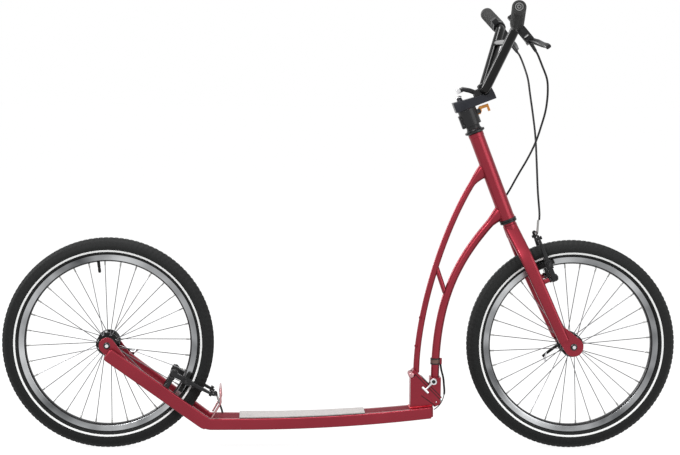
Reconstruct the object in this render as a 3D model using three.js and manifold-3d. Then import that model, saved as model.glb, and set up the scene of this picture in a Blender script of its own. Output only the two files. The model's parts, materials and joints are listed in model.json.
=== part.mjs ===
// An adult kick scooter: two equal spoked wheels, a low footboard, a frame that folds above the front
// of the footboard, a quick-release stem and a high V-shaped handlebar with two rim brakes.
// Millimetres and degrees. X points forward, Y to the rider's left, Z up. The origin is on the ground,
// halfway between the points where the two tyres touch it.
import * as THREE from "three";
import { mergeVertices } from "three/addons/utils/BufferGeometryUtils.js";
import Module from "manifold-3d";

const wasm = await Module();
wasm.setup();

// Fits
const fit = 0.3;
const overrun = 8;

// Stance
const wheelbase = 1103;
const headAngle = 68.6;
const forkOffset = 36;

// Tyre and inner tube
const tyreHeight = 39;
const tyreSectionRadius = 23.5;
const tyreCrownHalf = 8;
const tyreWall = 3.2;
const beadLift = 1.5;
const beadDepth = 9;
const beadThickness = 2.9;
const innerTubeRadius = 15.5;
const valveRadius = 3.8;
const valveReach = 27;
const rearValveAngle = 7;
const frontValveAngle = 28;

// Rim
const rimRadius = 211;
const rimHalfWidth = 12;
const rimWall = 1.8;
const rimDepth = 17;
const rimWellDepth = 7;
const rimBedHalf = 8;

// Hub, axle and spokes
const axleRadius = 4.7;
const hubShellRadius = 13;
const hubConeRadius = 10;
const flangeRadius = 26.5;
const flangeWidth = 3;
const flangeOuter = 30;
const spokeRadius = 1;
const spokeHoleRadius = 23;
const spokeStandoff = 2.5;
const spokeRimHalf = 2;
const nutRadius = 8;
const nutLength = 6;
const camRadius = 8;
const frontCamLength = 8;
const rearCamLength = 17.4;

// Quick-release levers of the wheels
const releaseLength = 69;
const releaseWidth = 14;
const releaseThickness = 6.5;
const releaseBarrelRadius = 4;
const releaseSlope = 36.5;

// Dropouts
const dropoutInner = 50.3;
const dropoutThickness = 6;
const forkDropoutRadius = 23;
const rearDropoutRadius = 19;
const rearNotchRadius = 21;

// Footboard and rear stays; distances along X are taken from the nearer tyre's facing edge
const deckBottom = 48;
const railHeight = 27;
const railWidth = 16;
const railArcAhead = 71.5;
const deckFrontRise = 26.8;
const deckRearUnder = 16;
const deckFrontBehind = 78.5;
const deckRearHalf = 48;
const deckFrontHalf = 36;
const deckCornerRadius = 14;
const stayBendRadius = 40;
const stayHeight = 31;
const stayEndDrop = 17.5;
const stayEndHalf = 72.6;
const panThickness = 3;
const panRearAhead = 1.5;
const padThickness = 3;
const padRearShare = 0.1434;
const padFrontShare = 0.6947;
const padMargin = 4;
const guardRadius = 2.5;
const guardHalf = 46;
const guardFootUnder = 3.5;
const guardFootHalf = 41;
const guardKneeAhead = 17.5;
const guardKneeZ = 114;
const guardTopAhead = 15.5;
const guardTopZ = 145;
const guardBend = 12;

// Fold; distances along X are taken from the front tyre's rear edge
const foldBehind = 132.5;
const foldZ = 176;
const foldSlope = 45;
const pinRadius = 4;
const pinHeadRadius = 6.5;
const pinHeadLength = 3;
const knuckleRadius = 7;
const knuckleHalf = 8;
const gussetHalf = 18;
const foldFace = 7.35;
const foldLength = 90;
const gussetRearBehind = 134.5;
const leafThickness = 6;
const leafTail = 5;
const blockRearBehind = 87.5;
const blockFrontBehind = 61.5;
const blockTopZ = 176;
const boltAlong = 48;
const boltEyeHeight = 27;
const boltEyeRadius = 8;
const boltEyeWidth = 6;
const boltRodRadius = 2.5;
const boltRodLength = 28.4;
const boltNutRadius = 3.5;
const boltNutLength = 21;
const boltStudHeadRadius = 4.5;
const boltStudHeadLength = 1.5;

// Front frame tubes
const headRadius = 18;
const headWall = 2.7;
const headAboveShoulder = 27;
const headLength = 222;
const lowerCupRadius = 20.5;
const lowerCupHeight = 5.7;
const upperCupRadius = 24;
const upperCupHeight = 10.7;
const upperTubeRadius = 7.5;
const upperTubeTopDrop = 85.7;
const upperTubeTopInset = 15.85;
const upperTubeTopPull = 120;
const upperTubeTopSlope = 53.1;
const upperTubeFootBehind = 119.5;
const upperTubeFootZ = 180;
const upperTubeFootPull = 166;
const lowerTubeRadius = 10;
const lowerTubeTopRise = 26.6;
const lowerTubeTopInset = 7.3;
const lowerTubeTopPull = 140;
const lowerTubeTopSlope = 47;
const lowerTubeFootBehind = 74.5;
const lowerTubeFootPull = 200;
const upperFlareRadius = 13;
const lowerFlareRadius = 17;
const flareLength = 34;
const collarRadius = 11.5;
const collarLow = 200;
const collarHeight = 15;
const cableStopRadius = 3.5;
const braceRadius = 6;
const braceTopZ = 437;
const braceFootZ = 364;
const tubeBossRadius = 4;
const tubeBossProud = 2;
const tubeBossZ = [309, 247];

// Fork
const steererRadius = 14.3;
const crownRadius = 17;
const crownHalf = 16;
const raceRadius = 16;
const bladeDepth = 30;
const bladeWidth = 18;
const bladeHalf = 54;
const shoulderClearance = 56;
const shoulderRadius = 38;
const bladeFoot = 22;
const bladeRake = 3.5;

// Rim brakes, in a frame at the axle: x off the wheel plane's radius, z along that radius
const rearBrakeDrop = 28.5;
const brakePivotDrop = 41;
const brakePivotHalf = 42;
const bossRadius = 6;
const bossEnd = 7.7;
const forkBossBack = 21;
const rearBossBack = 36;
const studRadius = 4;
const armThickness = 12;
const armLength = 108;
const armWidth = 16;
const armLean = 8;
const boltHeadRadius = 5.5;
const boltHeadLength = 5;
const padLength = 50;
const padHeight = 10;
const padDepth = 10;
const padRimGap = 1.8;
const padShift = 6;
const padStudRadius = 3;
const noodleRadius = 2.6;
const noodleReach = 8;
const noodleBend = 12;
const frontNoodleFrom = [27, -42, 31.1];
const rearNoodleFrom = [-8, -35, 23.1];

// Stem
const stemNeckRadius = 16.5;
const stemNeckHeight = 9.7;
const stemBodyRadius = 22;
const stemBodyHeight = 39.7;
const stemBlockHalf = 18;
const stemBlockRear = -27;
const stemBlockFront = 74;
const stemBlockHeight = 25;
const stemBlockStep = 7.5;
const stemBlockChamfer = 2;
const barAboveBlock = 2;
const barForward = 54;
const clampHalf = 14;
const clampArchRadius = 17;
const clampRear = 43.3;
const steererLid = 3;
const topCapRadius = 8;
const topCapHeight = 7;
const stemLeverX = 33;
const stemLeverRadius = 5.5;
const stemLeverHalf = 8.5;
const stemLeverThickness = 11;
const stemLeverRise = 2;
const stemLeverReach = 41;
const stemLeverArch = 19;
const stemPinRadius = 2.5;
const safetyLeverX = 27;
const safetyLeverDrop = 14;
const safetyLeverHalf = 5;
const safetyLeverReach = 25;
const safetyLeverBar = 8;
const safetyPinRadius = 1.5;
const safetyEarThickness = 2.7;

// Handlebar and grips
const barRadius = 11.1;
const barSaddleHalf = 24;
const barSaddleBend = 16;
const barCornerX = 160;
const barCornerRise = 117.4;
const barEndHalf = 287;
const barGripRise = 16.1;
const barBend = 25;
const crossbarRadius = 8;
const crossbarShare = 0.76;
const gripRadius = 16.3;
const gripLength = 131;
const gripEndWall = 3;

// Brake levers
const leverFromCorner = 16;
const leverPitch = 17.05;
const collarLength = 13;
const leverCollarRadius = 15;
const bracketLength = 52;
const bracketWidth = 12;
const bracketHalf = 10;
const bracketPivot = 44;
const bracketHeelSetback = 2;
const clampBlockReach = 26;
const clampBlockHalf = 7;
const leverPinRadius = 2.2;
const bladeThickness = 12;
const bladeHeight = 9;
const leverReach = 63;
const leverSpan = 75;
const barrelRadius = 5;
const barrelTipRadius = 3.5;
const barrelTipDown = 71;
const barrelTipIn = 25;
const cableRadius = 2.5;

// Counts
const wheelSegments = 32;
const tubeSegments = 20;
const hubSegments = 12;
const roundSides = 12;
const smallSides = 8;
const headSegments = 16;
const frameSides = 10;
const spokesPerSide = 16;
const spokesCrossed = 8;
const spokeSides = 3;
const eyeSteps = 12;
const bendSteps = 3;
const barBendSteps = 4;
const shoulderSteps = 5;
const railSteps = [3, 8, 3];
const panSteps = 8;
const padSteps = 6;
const frameTubeSteps = 14;
const archSteps = 6;
const frontCableSteps = 26;
const leverCableSteps = 30;
const loopSteps = 12;
const stubSteps = 6;

const palette = {
  framePaint: { color: 0x8a2035, roughness: 0.3, metalness: 0.35 },
  blackPaint: { color: 0x18181a, roughness: 0.35, metalness: 0.2 },
  tyreRubber: { color: 0x2c2d2e, roughness: 0.85, metalness: 0 },
  gripRubber: { color: 0x1b1b1c, roughness: 0.9, metalness: 0 },
  alloy: { color: 0xb9bbbd, roughness: 0.35, metalness: 0.9 },
  polished: { color: 0xd8d9da, roughness: 0.15, metalness: 1 },
  steelWire: { color: 0xa9abad, roughness: 0.3, metalness: 0.95 },
  padGrey: { color: 0xb8b8b6, roughness: 0.95, metalness: 0 },
  orange: { color: 0xb06a16, roughness: 0.3, metalness: 0.5 },
  cableSheath: { color: 0x151516, roughness: 0.5, metalness: 0 },
};

const radians = THREE.MathUtils.degToRad;
const lerp = THREE.MathUtils.lerp;
const at = (x, y, z) => new THREE.Vector3(x, y, z);
const wheelRadius = rimRadius + tyreHeight;
const rearAxle = at(-wheelbase / 2, 0, wheelRadius);
const frontAxle = at(wheelbase / 2, 0, wheelRadius);
const rake = radians(90 - headAngle);
const ahead = at(Math.cos(rake), 0, Math.sin(rake));
const upward = at(-Math.sin(rake), 0, Math.cos(rake));
const steeringFoot = frontAxle.clone().addScaledVector(ahead, -forkOffset);
const sides = [["right", -1], ["left", 1]];

// Places along X, measured from the edges of the two tyres that face each other
const rearTyreX = rearAxle.x + wheelRadius;
const frontTyreX = frontAxle.x - wheelRadius;
const deckRearX = rearTyreX - deckRearUnder;
const deckFrontX = frontTyreX - deckFrontBehind;
const railArcStart = rearTyreX + railArcAhead;
const railArcRun = deckFrontX - railArcStart;
const railArcRadius = (railArcRun ** 2 + deckFrontRise ** 2) / (2 * deckFrontRise);
const panRearX = rearTyreX + panRearAhead;
const padRearX = lerp(deckRearX, deckFrontX, padRearShare);
const padFrontX = lerp(deckRearX, deckFrontX, padFrontShare);
const guardFootX = rearTyreX - guardFootUnder;
const guardKneeX = rearTyreX + guardKneeAhead;
const guardTopX = rearTyreX + guardTopAhead;
const foldX = frontTyreX - foldBehind;
const gussetRearX = frontTyreX - gussetRearBehind;
const blockRearX = frontTyreX - blockRearBehind;
const blockFrontX = frontTyreX - blockFrontBehind;
const upperTubeFootX = frontTyreX - upperTubeFootBehind;
const lowerTubeFootX = frontTyreX - lowerTubeFootBehind;

// Heights of the footboard, and heights along the steering axis
const deckTop = deckBottom + railHeight;
const shoulderHeight = wheelRadius + shoulderClearance;
const crownLow = shoulderHeight - crownHalf;
const crownHigh = shoulderHeight + crownHalf;
const headLow = shoulderHeight + headAboveShoulder;
const headHigh = headLow + headLength;
const stemLow = headHigh + fit + upperCupHeight + fit;
const stemBodyTop = stemLow + stemNeckHeight + stemBodyHeight;
const stemBlockLow = stemBodyTop + fit;
const stemBlockTop = stemBlockLow + stemBlockHeight;
const barHeight = stemBlockTop + barAboveBlock;
const stemStep = barHeight - stemBlockStep;
const steererTop = stemStep - steererLid - fit;
const stemLeverZ = barHeight + stemLeverRise;
const safetyPivotZ = stemBodyTop - safetyLeverDrop;

// Radii of the brake's parts from the axle, and places across the handlebar
const brakePivot = rimRadius - brakePivotDrop;
const noodleHeight = brakePivot + armLength + fit + noodleRadius;
const leverHalf = barEndHalf - gripLength;
const barCornerHalf = leverHalf - leverFromCorner;

// A point of the steering group, written in the scooter's own frame
function steered(x, y, z) {
  return steeringFoot.clone().addScaledVector(ahead, x).addScaledVector(upward, z).add(at(0, y, 0));
}

// Corner radius of a regular polygon whose flats lie at the given radius
function flat(radius, segments = roundSides) {
  return radius / Math.cos(Math.PI / segments);
}

// A closed mesh made into a solid for joining and cutting
function toSolid(geometry, matrix = new THREE.Matrix4()) {
  const bare = geometry.clone().applyMatrix4(matrix);
  bare.deleteAttribute("normal");
  bare.deleteAttribute("uv");
  const merged = mergeVertices(bare);
  const corners = Array.from(merged.index.array);
  const kept = [];
  for (let i = 0; i < corners.length; i += 3) {
    const [a, b, c] = corners.slice(i, i + 3);
    if (a !== b && b !== c && c !== a) kept.push(a, b, c);
  }
  const vertProperties = new Float32Array(merged.attributes.position.array);
  return new wasm.Manifold(new wasm.Mesh({ numProp: 3, vertProperties, triVerts: new Uint32Array(kept) }));
}

function toGeometry(solid) {
  const mesh = solid.getMesh();
  const geometry = new THREE.BufferGeometry();
  geometry.setAttribute("position", new THREE.BufferAttribute(new Float32Array(mesh.vertProperties), 3));
  geometry.setIndex(new THREE.BufferAttribute(new Uint32Array(mesh.triVerts), 1));
  geometry.computeVertexNormals();
  return geometry;
}

function join(first, ...others) {
  return others.reduce((whole, other) => whole.add(other), first);
}

function cut(first, ...others) {
  return others.reduce((whole, other) => whole.subtract(other), first);
}

function piece(parent, name, material, solid) {
  const mesh = new THREE.Mesh(toGeometry(solid), new THREE.MeshStandardMaterial(palette[material]));
  mesh.name = name;
  parent.add(mesh);
}

// Frame whose Z axis runs from one point to another
function facing(from, to) {
  const turn = new THREE.Quaternion().setFromUnitVectors(at(0, 0, 1), to.clone().sub(from).normalize());
  return new THREE.Matrix4().compose(from, turn, at(1, 1, 1));
}

function rod(radius, from, to, { segments = roundSides, endRadius = radius } = {}) {
  const length = from.distanceTo(to);
  const geometry = new THREE.CylinderGeometry(endRadius, radius, length, segments);
  geometry.rotateX(Math.PI / 2);
  geometry.translate(0, 0, length / 2);
  return toSolid(geometry, facing(from, to));
}

function box(low, high, matrix) {
  const size = high.clone().sub(low);
  const geometry = new THREE.BoxGeometry(size.x, size.y, size.z);
  geometry.translate((low.x + high.x) / 2, (low.y + high.y) / 2, (low.z + high.z) / 2);
  return toSolid(geometry, matrix);
}

// Closed profile of [radius, along] corners turned about Y, with a flat facing straight down
function turnAcross(profile, segments) {
  const points = profile.map(([radius, along]) => new THREE.Vector2(flat(radius, segments), along));
  points.push(points[0].clone());
  return new THREE.LatheGeometry(points, segments, Math.PI / segments);
}

// The same, turned about Z and placed by a frame
function turnUp(profile, segments, matrix) {
  return toSolid(turnAcross(profile, segments).rotateX(Math.PI / 2), matrix);
}

// Outline of [x, z] corners or a shape, given a thickness across
function sidePlate(outline, yLow, yHigh, matrix) {
  const shape = outline instanceof THREE.Shape
    ? outline
    : new THREE.Shape(outline.map(([x, z]) => new THREE.Vector2(x, z)));
  const geometry = new THREE.ExtrudeGeometry(shape, { depth: yHigh - yLow, bevelEnabled: false });
  geometry.rotateX(Math.PI / 2);
  geometry.translate(0, yHigh, 0);
  return toSolid(geometry, matrix);
}

// Outline of [y, z] corners, given a thickness forward
function frontPlate(outline, xLow, xHigh, matrix) {
  const shape = new THREE.Shape(outline.map(([y, z]) => new THREE.Vector2(y, z)));
  const geometry = new THREE.ExtrudeGeometry(shape, { depth: xHigh - xLow, bevelEnabled: false });
  geometry.rotateX(Math.PI / 2);
  geometry.rotateZ(Math.PI / 2);
  geometry.translate(xLow, 0, 0);
  return toSolid(geometry, matrix);
}

// Path with its rings at chosen points
class Stations extends THREE.Curve {
  constructor(points, tangents) {
    super();
    this.points = points;
    this.tangents = tangents;
  }

  getPointAt(share, target = new THREE.Vector3()) {
    return target.copy(this.points[Math.round(share * (this.points.length - 1))]);
  }

  getTangentAt(share, target = new THREE.Vector3()) {
    return target.copy(this.tangents[Math.round(share * (this.points.length - 1))]);
  }
}

// Stations at the points given, each facing from the point before to the one after
function chained(points) {
  const tangents = points.map((point, i) => {
    const before = points[Math.max(i - 1, 0)];
    const after = points[Math.min(i + 1, points.length - 1)];
    return after.clone().sub(before).normalize();
  });
  return new Stations(points, tangents);
}

// Straight runs with a round bend at each inner corner
function bentPath(corners, radii, bendSteps) {
  const stepsAt = (i) => (Array.isArray(bendSteps) ? bendSteps[i - 1] : bendSteps);
  const heading = (from, to) => to.clone().sub(from).normalize();
  const points = [corners[0]];
  const tangents = [heading(corners[0], corners[1])];
  for (let i = 1; i < corners.length - 1; i += 1) {
    const before = heading(corners[i - 1], corners[i]);
    const after = heading(corners[i], corners[i + 1]);
    const turn = before.angleTo(after);
    const radius = radii[i - 1];
    const inward = after.clone().addScaledVector(before, -Math.cos(turn)).normalize();
    const start = corners[i].clone().addScaledVector(before, -radius * Math.tan(turn / 2));
    for (let step = 0; step <= stepsAt(i); step += 1) {
      const angle = (turn * step) / stepsAt(i);
      const point = start.clone().addScaledVector(before, radius * Math.sin(angle));
      points.push(point.addScaledVector(inward, radius * (1 - Math.cos(angle))));
      const tangent = before.clone().multiplyScalar(Math.cos(angle));
      tangents.push(tangent.addScaledVector(inward, Math.sin(angle)));
    }
  }
  points.push(corners[corners.length - 1]);
  tangents.push(heading(corners[corners.length - 2], corners[corners.length - 1]));
  return new Stations(points, tangents);
}

function tube(radius, path, steps, segments = roundSides) {
  const ring = [];
  for (let side = 0; side < segments; side += 1) {
    const angle = (2 * Math.PI * side) / segments;
    ring.push(new THREE.Vector2(radius * Math.cos(angle), radius * Math.sin(angle)));
  }
  const options = { steps, extrudePath: path, curveSegments: 1 };
  return toSolid(new THREE.ExtrudeGeometry(new THREE.Shape(ring), options));
}

function bentTube(radius, corners, radii, bendSteps, segments) {
  const path = bentPath(corners, radii, bendSteps);
  return tube(radius, path, path.points.length - 1, segments);
}

// Closed skin over convex rings of points
function loft(rings) {
  const count = rings[0].length;
  const positions = rings.flat().flatMap((point) => point.toArray());
  const faces = [];
  for (let ring = 0; ring < rings.length - 1; ring += 1) {
    for (let side = 0; side < count; side += 1) {
      const here = ring * count + side;
      const next = ring * count + ((side + 1) % count);
      faces.push([here, next, next + count], [here, next + count, here + count]);
    }
  }
  const last = (rings.length - 1) * count;
  for (let side = 1; side < count - 1; side += 1) {
    faces.push([0, side + 1, side], [last, last + side, last + side + 1]);
  }
  const corner = (index) => at(...positions.slice(3 * index, 3 * index + 3));
  const volume = faces.reduce((sum, [a, b, c]) => sum + corner(a).dot(corner(b).cross(corner(c))), 0);
  const outward = volume > 0 ? faces : faces.map(([a, b, c]) => [a, c, b]);
  const geometry = new THREE.BufferGeometry();
  geometry.setAttribute("position", new THREE.Float32BufferAttribute(positions, 3));
  geometry.setIndex(outward.flat());
  return geometry;
}

// Ring of a rectangular section with chamfered corners
function barRing(point, across, up, width, height) {
  const chamferShare = 0.22;
  const chamfer = Math.min(width, height) * chamferShare;
  const w = width / 2;
  const h = height / 2;
  const corners = [
    [w, h - chamfer], [w - chamfer, h], [chamfer - w, h], [-w, h - chamfer],
    [-w, chamfer - h], [chamfer - w, -h], [w - chamfer, -h], [w, chamfer - h],
  ];
  return corners.map(([a, b]) => point.clone().addScaledVector(across, a).addScaledVector(up, b));
}

// Rectangular bar along stations: its height leans with the reference direction
function sweepBar(path, reference, width, height, matrix) {
  const last = path.points.length - 1;
  const rings = path.points.map((point, index) => {
    const tangent = path.tangents[index];
    const up = reference.clone().addScaledVector(tangent, -reference.dot(tangent)).normalize();
    const across = tangent.clone().cross(up);
    return barRing(point, across, up, width(index / last, point), height(index / last, point));
  });
  return toSolid(loft(rings), matrix);
}

// Round eye with two straight edges that run on to two points, as an [x, z] shape
function teardrop(centre, radius, first, second) {
  const reach = (point) => Math.acos(radius / Math.hypot(point[0] - centre[0], point[1] - centre[1]));
  const bearing = (point) => Math.atan2(point[1] - centre[1], point[0] - centre[0]);
  const start = bearing(first) + reach(first);
  let end = bearing(second) - reach(second);
  while (end < start) end += 2 * Math.PI;
  const outline = [first];
  for (let step = 0; step <= eyeSteps; step += 1) {
    const angle = lerp(start, end, step / eyeSteps);
    outline.push([centre[0] + radius * Math.cos(angle), centre[1] + radius * Math.sin(angle)]);
  }
  outline.push(second);
  return outline;
}

// Height of the footboard's line over its level rear part
function deckRise(x) {
  const run = Math.max(x - railArcStart, 0);
  return railArcRadius - Math.sqrt(railArcRadius ** 2 - run ** 2);
}

// Half width of the footboard over the rails
function deckHalf(x) {
  const frontX = deckFrontX - deckFrontHalf / 2;
  return lerp(deckFrontHalf, deckRearHalf, (frontX - x) / (frontX - deckRearX));
}

const axleHole = flat(axleRadius + fit);
const hubHalf = dropoutInner - 2 * fit;
const dropoutOuter = dropoutInner + dropoutThickness;
const rimWellRadius = rimRadius - rimWellDepth;
const rimInnerRadius = rimRadius - rimDepth;

function tyre() {
  const middle = wheelRadius - tyreSectionRadius;
  const beadRadius = rimWellRadius + beadLift;
  const beadOuter = rimHalfWidth - rimWall - fit;
  const crownEdge = [wheelRadius, tyreCrownHalf];
  const around = (radius, angle) => [
    middle + radius * Math.cos(radians(angle)),
    radius * Math.sin(radians(angle)),
  ];
  const innerRadius = tyreSectionRadius - tyreWall;
  const wallAngles = [55, 90, 115];
  const beadAngle = 125;
  const liningAngles = [60, 0, -60];
  const upper = [
    crownEdge,
    ...wallAngles.map((angle) => around(tyreSectionRadius, angle)),
    [rimRadius + fit, beadOuter],
    [beadRadius, beadOuter],
    [beadRadius, beadOuter - beadThickness],
    [beadRadius + beadDepth, beadOuter - beadThickness / 3],
    around(innerRadius, beadAngle),
  ];
  const lower = upper.map(([radius, along]) => [radius, -along]).reverse();
  const lining = liningAngles.map((angle) => around(innerRadius, angle));
  return toSolid(turnAcross([...lower, ...upper, ...lining], wheelSegments));
}

function rim(valveAngle) {
  const half = [
    [rimWellRadius, rimHalfWidth - rimWall],
    [rimRadius, rimHalfWidth - rimWall],
    [rimRadius, rimHalfWidth],
    [rimInnerRadius, rimBedHalf],
  ];
  const lower = half.map(([radius, along]) => [radius, -along]).reverse();
  const channel = toSolid(turnAcross([...lower, ...half], wheelSegments));
  const hole = flat(valveRadius + 2 * fit);
  const from = valvePoint(rimInnerRadius - overrun, valveAngle);
  return cut(channel, rod(hole, from, valvePoint(rimWellRadius + overrun, valveAngle)));
}

// Point on the line of the valve, which leans back from straight up
function valvePoint(radius, valveAngle) {
  return at(-radius * Math.sin(radians(valveAngle)), 0, radius * Math.cos(radians(valveAngle)));
}

function innerTube(valveAngle) {
  const middle = wheelRadius - tyreSectionRadius;
  const profile = [];
  const corners = 6;
  for (let i = 0; i < corners; i += 1) {
    const angle = (2 * Math.PI * i) / corners;
    profile.push([middle + innerTubeRadius * Math.cos(angle), innerTubeRadius * Math.sin(angle)]);
  }
  const ring = toSolid(turnAcross(profile, tubeSegments));
  const tip = valvePoint(rimInnerRadius - valveReach, valveAngle);
  return join(ring, rod(valveRadius, valvePoint(middle - innerTubeRadius / 2, valveAngle), tip));
}

function hub() {
  const bore = flat(axleRadius + 2 * fit, hubSegments);
  const half = [
    [hubShellRadius, flangeOuter - 2 * flangeWidth],
    [flangeRadius, flangeOuter - flangeWidth],
    [flangeRadius, flangeOuter],
    [hubShellRadius, flangeOuter],
    [hubConeRadius, hubHalf],
    [bore, hubHalf],
  ];
  const lower = half.map(([radius, along]) => [radius, -along]).reverse();
  return toSolid(turnAcross([...lower, ...half], hubSegments));
}

// Spokes of one side of a wheel: two crossing layers whose elbows meet in a ring on the hub's flange
function spokes(side) {
  const rimEnd = rimInnerRadius - fit;
  const hubAcross = flangeOuter + spokeStandoff;
  const layer = 2 * spokeRadius + fit;
  const pitch = 360 / spokesPerSide;
  const stagger = side > 0 ? pitch / 2 : 0;
  const bars = [];
  for (let i = 0; i < spokesPerSide; i += 1) {
    const outerLayer = i % 2 === 0;
    const rimAngle = radians(pitch * i + stagger);
    const hubAngle = rimAngle + radians(outerLayer ? spokesCrossed : -spokesCrossed);
    const lift = outerLayer ? layer : 0;
    const inner = at(
      spokeHoleRadius * Math.sin(hubAngle),
      side * (hubAcross + lift),
      spokeHoleRadius * Math.cos(hubAngle),
    );
    const outer = at(
      rimEnd * Math.sin(rimAngle),
      side * (spokeRimHalf + lift),
      rimEnd * Math.cos(rimAngle),
    );
    bars.push(rod(spokeRadius, inner, outer, { segments: spokeSides }));
  }
  const low = Math.min(side * (hubAcross - spokeRadius), side * (hubAcross + layer + spokeRadius));
  const elbows = turnAcross([
    [spokeHoleRadius - spokeRadius, low],
    [spokeHoleRadius + spokeRadius, low],
    [spokeHoleRadius + spokeRadius, low + layer + 2 * spokeRadius],
    [spokeHoleRadius - spokeRadius, low + layer + 2 * spokeRadius],
  ], spokesPerSide);
  return join(toSolid(elbows), ...bars);
}

function axle(camLength) {
  const nutStart = dropoutOuter + fit;
  const nutEnd = nutStart + nutLength;
  const camStart = dropoutOuter + fit;
  const coneShare = 0.68;
  return join(
    rod(axleRadius, at(0, -nutEnd, 0), at(0, camStart + camLength, 0)),
    rod(nutRadius * coneShare, at(0, -nutEnd, 0), at(0, -nutStart, 0), { endRadius: nutRadius }),
    rod(camRadius, at(0, camStart, 0), at(0, camStart + camLength, 0)),
  );
}

// Quick-release lever: barrel over the cam housing, curved flat handle along the given slope
function quickRelease(camLength, slope, heading) {
  const y = dropoutOuter + fit + camLength + fit + releaseBarrelRadius;
  const along = at(heading * Math.cos(radians(slope)), 0, -Math.sin(radians(slope)));
  const across = at(along.z, 0, -along.x);
  const barrelHalf = releaseWidth / 2;
  const centre = at(0, y, 0);
  const stationShares = [0, 0.3, 0.65, 1];
  const bowShares = [0, 0.5, 0.7, 0.2];
  const points = stationShares.map((share, i) => centre.clone()
    .addScaledVector(along, share * releaseLength)
    .add(at(0, bowShares[i] * releaseThickness, 0)));
  const tangents = points.map(() => along.clone());
  const widthShares = [0.6, 0.75, 1, 0.8];
  const bar = sweepBar(
    new Stations(points, tangents),
    across,
    () => releaseThickness,
    (share) => releaseWidth * widthShares[Math.round(share * (widthShares.length - 1))],
  );
  const barrel = rod(
    releaseBarrelRadius,
    centre.clone().addScaledVector(across, -barrelHalf),
    centre.clone().addScaledVector(across, barrelHalf),
  );
  return join(bar, barrel);
}

function buildWheel(parent, prefix, centre, { valveAngle, camLength, heading }) {
  const wheel = new THREE.Group();
  wheel.position.copy(centre);
  parent.add(wheel);
  piece(wheel, `${prefix}_tyre`, "tyreRubber", tyre());
  piece(wheel, `${prefix}_inner_tube`, "tyreRubber", innerTube(valveAngle));
  piece(wheel, `${prefix}_rim`, "alloy", rim(valveAngle));
  piece(wheel, `${prefix}_hub`, "alloy", hub());
  for (const [sideName, side] of sides) {
    piece(wheel, `${prefix}_spokes_${sideName}`, "steelWire", spokes(side));
  }
  piece(wheel, `${prefix}_axle`, "polished", axle(camLength));
  piece(wheel, `${prefix}_quick_release`, "blackPaint", quickRelease(camLength, releaseSlope, heading));
}

// Brake boss with its pivot bolt, in the brake's own frame
function brakeBoss(side, matrix, back) {
  const pivot = (x) => at(x, side * brakePivotHalf, brakePivot);
  const headStart = bossEnd + fit + armThickness + fit;
  const turn = (solid) => solid.transform(matrix.elements);
  return turn(join(
    rod(bossRadius, pivot(-back), pivot(bossEnd), { segments: smallSides }),
    rod(studRadius, pivot(bossEnd - overrun), pivot(headStart + boltHeadLength), { segments: smallSides }),
    rod(boltHeadRadius, pivot(headStart), pivot(headStart + boltHeadLength), { segments: smallSides }),
  ));
}

function brakeArm(side) {
  const armLow = bossEnd + fit;
  const stations = [
    { alongShare: -0.08, leanShare: 0, widthShare: 0.6 },
    { alongShare: 0, leanShare: 0, widthShare: 1 },
    { alongShare: 0.33, leanShare: 0.5, widthShare: 0.85 },
    { alongShare: 1, leanShare: 1, widthShare: 0.55 },
  ];
  const edge = (sign) => stations.map(({ alongShare, leanShare, widthShare }) => [
    side * (brakePivotHalf - leanShare * armLean + sign * widthShare * armWidth / 2),
    brakePivot + alongShare * armLength,
  ]);
  const outline = [...edge(-1), ...edge(1).reverse()];
  const pivot = (x) => at(x, side * brakePivotHalf, brakePivot);
  return cut(
    frontPlate(side > 0 ? outline.reverse() : outline, armLow, armLow + armThickness),
    rod(flat(studRadius + fit, smallSides), pivot(armLow - overrun), pivot(armLow + armThickness + overrun), {
      segments: smallSides,
    }),
  );
}

function brakePad(side) {
  const inner = rimHalfWidth + padRimGap;
  const heightShare = 0.56;
  const height = lerp(rimInnerRadius, rimRadius, heightShare);
  const armInnerShare = 0.85;
  const armInner = brakePivotHalf - armLean / 2 - armWidth * armInnerShare / 2;
  const studX = bossEnd + fit + armThickness / 2;
  const yLow = Math.min(side * inner, side * (inner + padDepth));
  return join(
    box(
      at(padShift - padLength / 2, yLow, height - padHeight / 2),
      at(padShift + padLength / 2, yLow + padDepth, height + padHeight / 2),
    ),
    rod(
      padStudRadius,
      at(studX, side * (inner + padDepth / 2), height),
      at(studX, side * (armInner - fit), height),
    ),
  );
}

// Bent pipe that lies on top of one arm and points across the tyre
function brakeNoodle([startX, startY, startRise]) {
  const x = bossEnd + fit + armThickness / 2;
  const start = at(startX, startY, noodleHeight + startRise);
  const corner = at(x, -(brakePivotHalf - armLean), noodleHeight);
  const end = at(x, -noodleReach, noodleHeight);
  return bentTube(noodleRadius, [start, corner, end], [noodleBend], barBendSteps, smallSides);
}

function buildRimBrake(parent, prefix, matrix, { names, noodleFrom }) {
  const brake = new THREE.Group();
  brake.applyMatrix4(matrix);
  parent.add(brake);
  for (const [name, side] of names) {
    piece(brake, `${prefix}_brake_arm_${name}`, "blackPaint", brakeArm(side));
    piece(brake, `${prefix}_brake_pad_${name}`, "gripRubber", brakePad(side));
  }
  piece(brake, `${prefix}_brake_noodle`, "polished", brakeNoodle(noodleFrom));
}

// Frame of the rear brake: its z axis runs from the rear axle down towards the footboard
const rearBrakeOut = at(Math.cos(radians(rearBrakeDrop)), 0, -Math.sin(radians(rearBrakeDrop)));
const rearBrakeOff = at(Math.sin(radians(rearBrakeDrop)), 0, Math.cos(radians(rearBrakeDrop)));
const rearBrakeFrame = new THREE.Matrix4()
  .makeBasis(rearBrakeOff, at(0, -1, 0), rearBrakeOut)
  .setPosition(rearAxle);
const frontBrakeFrame = new THREE.Matrix4().makeTranslation(forkOffset, 0, 0);

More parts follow.
